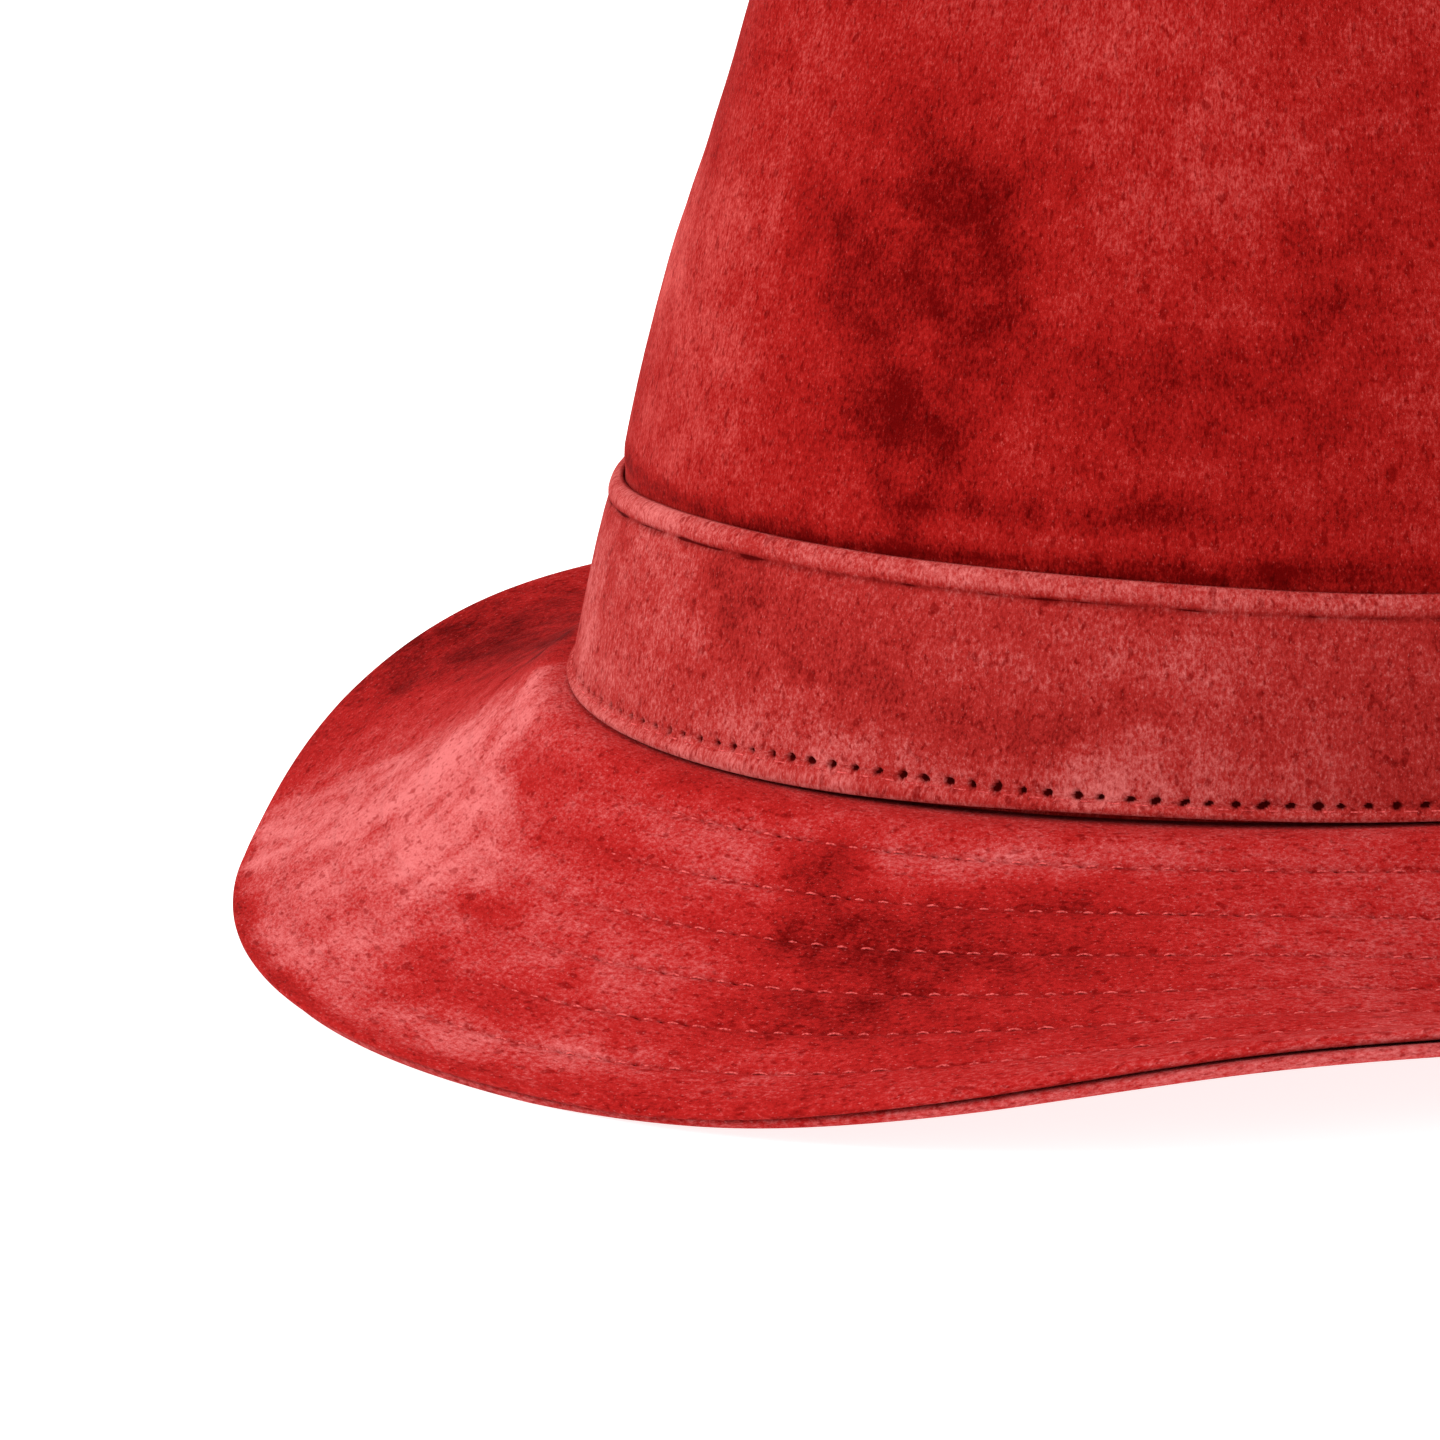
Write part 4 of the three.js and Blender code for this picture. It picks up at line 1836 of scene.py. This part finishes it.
    def build_under(self, suede: bpy.types.Material, thread: bpy.types.Material) -> list[bpy.types.Object]:
        """Builds the under ply with its rolled edge and the stitches below it.

        Args:
            suede: The brim's material.
            thread: The thread's material.

        Returns:
            The ply and its stitches.
        """
        columns = self.stitches * self.columns_per_stitch // 2
        turn = FORM.even_turns(columns)
        tip = self.roll_start()
        face = self.fine_stations()[:: self.under_every]
        face = np.append(face[face < tip], tip)
        upper, under = np.append(face[: -1 : self.under_upper_every], tip), face[::-1]
        angle = np.radians(np.linspace(90, -90, self.roll_rings))
        straight = FORM.roll_width + np.minimum(FORM.under_lead(turn), 0) - self.roll_round
        bend = straight + np.cos(angle)[:, None] * self.roll_round
        feet = np.repeat(np.array(self.roll_feet)[:, None], columns, axis=1)
        stations = np.concatenate([upper, np.full(len(angle) + len(feet), tip), under])
        on_face = [np.zeros((len(rings), columns)) for rings in (upper, under)]
        beyond = np.concatenate([on_face[0], bend, feet, on_face[1]])
        relief = self.quilting(under) * (1 - smooth_step(under, tip - self.under_flat, tip))
        half = FORM.roll_thickness / 2
        plain = [
            np.full(len(upper), FORM.under_depth),
            FORM.under_depth + half - np.sin(angle) * half,
            FORM.stack + (FORM.roll_thickness - FORM.ply) * np.array(self.roll_fullness),
            FORM.stack + self.under_relief * relief,
        ]
        depth = np.repeat(np.concatenate(plain)[:, None], columns, axis=1) - self.sway(turn, stations)
        rings, up = self.points(turn, stations, depth, beyond)
        place = stations[:, None] + beyond
        nap_turn = np.broadcast_to(turn + self.under_nap_turn, place.shape)
        # Nap with the strokes' painted light and shade, turned round for the underside.
        nap = NAP_AND_LIGHT.shade(Part.BRIM, nap_turn, place, rings)
        roll = slice(len(upper), len(upper) + len(angle))
        nap[roll] += self.roll_light
        seam = np.zeros_like(nap)
        # Painted shade on the upper side of the rolled edge, where it meets the upper ply.
        seam[roll] = smooth_step(np.sin(angle), *self.roll_shade_from)[:, None] * self.roll_shade
        # Painted shade in the stitch grooves of the underside.
        seam[-len(under) :] = self.row_grooves(under)[:, None]
        made = self.skin("suede_brim_under", rings, nap, seam).build(suede, Slot.BRIM)
        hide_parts("brim_under")
        return [made, self.sew("brim_under_stitches", rings, up, stations, -1.0, thread)]

    def sew(
        self,
        name: str,
        rings: np.ndarray,
        up: np.ndarray,
        stations: np.ndarray,
        side: float,
        thread: bpy.types.Material,
    ) -> bpy.types.Object:
        """Lays the stitches of every row on one face of the brim.

        Args:
            name: Name of the piece.
            rings: Points of the ply in the resting pose.
            up: Directions out of the brim's upper face, in the hat's frame.
            stations: Reach of each ring.
            side: 1 for the upper face, -1 for the underside.
            thread: The thread's material.

        Returns:
            The stitches as one piece.
        """
        sewn = Stitches(name, self.thread_radius, self.thread_arch)
        columns = rings.shape[1]
        step = columns // self.stitches
        shown = self.shown(FORM.even_turns(columns))
        draw = np.random.default_rng(Seed.BRIM_STITCHES)
        inverse = np.linalg.inv(np.array(FORM.pose()))
        hat = rings @ inverse[:3, :3].T + inverse[:3, 3]
        for number, reach in enumerate(self.row_reaches()):
            away = np.abs(stations - reach)
            found = np.flatnonzero(away == away.min())
            row = int(found[0] if side > 0 else found[-1])
            for stitch in range(self.stitches):
                first = (stitch * step + (number % step if side > 0 else 0)) % columns
                half_way, last = (first + step // 2) % columns, (first + step) % columns
                start, middle, end = hat[row, first], hat[row, half_way], hat[row, last]
                normal = up[row, half_way] * side
                gap = (end - start) * draw.uniform(*self.thread_gaps)
                sunk = normal * (shown[first] * draw.uniform(*self.thread_rises) - 1) * self.thread_sink
                sewn.add(start + gap + sunk, middle + sunk, end - gap + sunk, normal)
        return sewn.build(thread)


@dataclass(frozen=True)
class Viewpoint:
    """Where the hat is seen from, in its own frame.

    Args:
        turn: Degrees round the hat.
        elevation: Degrees above the root plane.
        distance: Distance from the middle of the root plane, in metres.
        aim_right: How far right of that middle the view is centred, in metres.
        aim_up: How far above it.
        sensor: Width of the image in the camera, in millimetres.
        lens: Focal length for that width, in millimetres.
        clip: Nearest and farthest distance that is seen, in metres.
    """

    turn: float = 63.9
    elevation: float = 13.8
    distance: float = 1.4
    aim_right: float = -0.0818
    aim_up: float = -0.0098
    sensor: float = 36.0
    lens: float = 287.2
    clip: Span = (0.05, 50.0)

    def facing(self) -> Matrix:
        """Place and direction of the camera in the hat's frame, in metres.

        Returns:
            The camera's matrix.
        """
        round_angle, climb = math.radians(self.turn), math.radians(self.elevation)
        right = Vector((math.cos(round_angle), math.sin(round_angle), 0))
        level_back = Vector((math.sin(round_angle), -math.cos(round_angle), 0))
        back = level_back * math.cos(climb) + Vector((0, 0, math.sin(climb)))
        up = back.cross(right)
        place = back * self.distance
        away = (place - right * self.aim_right - up * self.aim_up).normalized()
        level = up.cross(away).normalized()
        facing = Matrix((level, away.cross(level), away)).transposed().to_4x4()
        facing.translation = place
        return facing

    def build(self) -> bpy.types.Object:
        """Makes the camera and makes it the scene's own.

        Returns:
            The camera.
        """
        data = bpy.data.cameras.new("photo view")
        data.sensor_width = self.sensor
        data.lens = self.lens
        data.clip_start, data.clip_end = self.clip
        pose = FORM.pose()
        pose.translation = pose.translation * METRES_PER_MM
        camera = put_in_scene("photo view", data)
        camera.matrix_world = pose @ self.facing()
        bpy.context.scene.camera = camera
        return camera


@dataclass(frozen=True)
class SoftLight:
    """A soft studio light that faces the hat.

    Args:
        name: Name of the light.
        place: Where it stands, in metres.
        size: Width of its square face, in metres.
        power: Its power in watts.
        aim: The point that it faces, in metres.
    """

    name: str
    place: Place
    size: float
    power: float
    aim: Place = (0.0, 0.0, 0.05)

    def build(self) -> bpy.types.Object:
        """Makes the light and turns it to the hat.

        Returns:
            The light.
        """
        data = bpy.data.lights.new(self.name, "AREA")
        data.shape = "SQUARE"
        data.size = self.size
        data.energy = self.power
        made = put_in_scene(self.name, data)
        made.location = self.place
        made.rotation_mode = "QUATERNION"
        made.rotation_quaternion = (Vector(self.aim) - Vector(self.place)).to_track_quat("-Z", "Y")
        return made


@dataclass
class Studio:
    """Pale floor, soft light and the camera."""

    floor_size: float = 12.0
    floor_colour: Colour = (0.6, 0.6, 0.6, 1.0)
    floor_shade: Colour = (0.591, 0.591, 0.591, 1.0)
    mottle: FibreNoise = FibreNoise(220.0, 3.0, 0.6)
    roughness: float = 0.9
    specular: float = 0.1
    glow: float = 0.84
    white: Colour = (1.0, 1.0, 1.0, 1.0)
    sky: float = 0.73
    viewpoint: Viewpoint = Viewpoint()
    lights: tuple[SoftLight, ...] = (
        SoftLight("key light", (-0.3, -1.8, 1.3), 0.9, 30.0),
        SoftLight("fill light", (2.0, -0.3, 1.2), 1.2, 8.0),
        SoftLight("top light", (-0.3, 0.2, 2.2), 1.6, 22.0),
    )

    def build(self) -> None:
        """Builds the floor, the lights, the sky and the camera, with colours shown as they are."""
        half = self.floor_size / 2
        mesh = bpy.data.meshes.new("studio_floor")
        corners = [(-half, -half, 0), (half, -half, 0), (half, half, 0), (-half, half, 0)]
        mesh.from_pydata(corners, [], [[0, 1, 2, 3]])
        mesh.materials.append(self.paper())
        floor = put_in_scene("studio_floor", mesh)
        world = bpy.data.worlds.new("studio")
        world.use_nodes = True
        background = world.node_tree.nodes["Background"]
        background.inputs["Color"].default_value = self.white
        background.inputs["Strength"].default_value = self.sky
        bpy.context.scene.world = world
        bpy.context.scene.view_settings.view_transform = "Standard"
        for light in self.lights:
            light.build()
        self.viewpoint.build()

    def paper(self) -> bpy.types.Material:
        """Plain pale paper of the floor, lit softly from below.

        Returns:
            The floor's material.
        """
        made, sketch = blank_material("pale paper")
        place = sketch.node("ShaderNodeTexCoord").outputs["Object"]
        mottle = sketch.noise(place, self.mottle.count, self.mottle)
        sketch.surface(
            {
                "Base Color": sketch.mix(mottle, self.floor_shade, self.floor_colour),
                "Roughness": self.roughness,
                "Specular IOR Level": self.specular,
                "Emission Color": self.white,
                "Emission Strength": self.glow,
            }
        )
        return made


def main() -> None:
    """Builds the studio and the hat, piece by piece."""
    logging.basicConfig(level=logging.INFO, format="%(name)s: %(message)s")
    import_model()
    Studio().build()
    groups = SuedeGroups()
    thread = ThreadFinish().material()
    pieces = [Crown().build(groups)]
    pieces += Band().build(groups, thread)
    pieces += Brim().build(groups, thread)
    LOG.info("built %s", ", ".join(piece.name for piece in pieces))


if __name__ == "__main__":
    main()
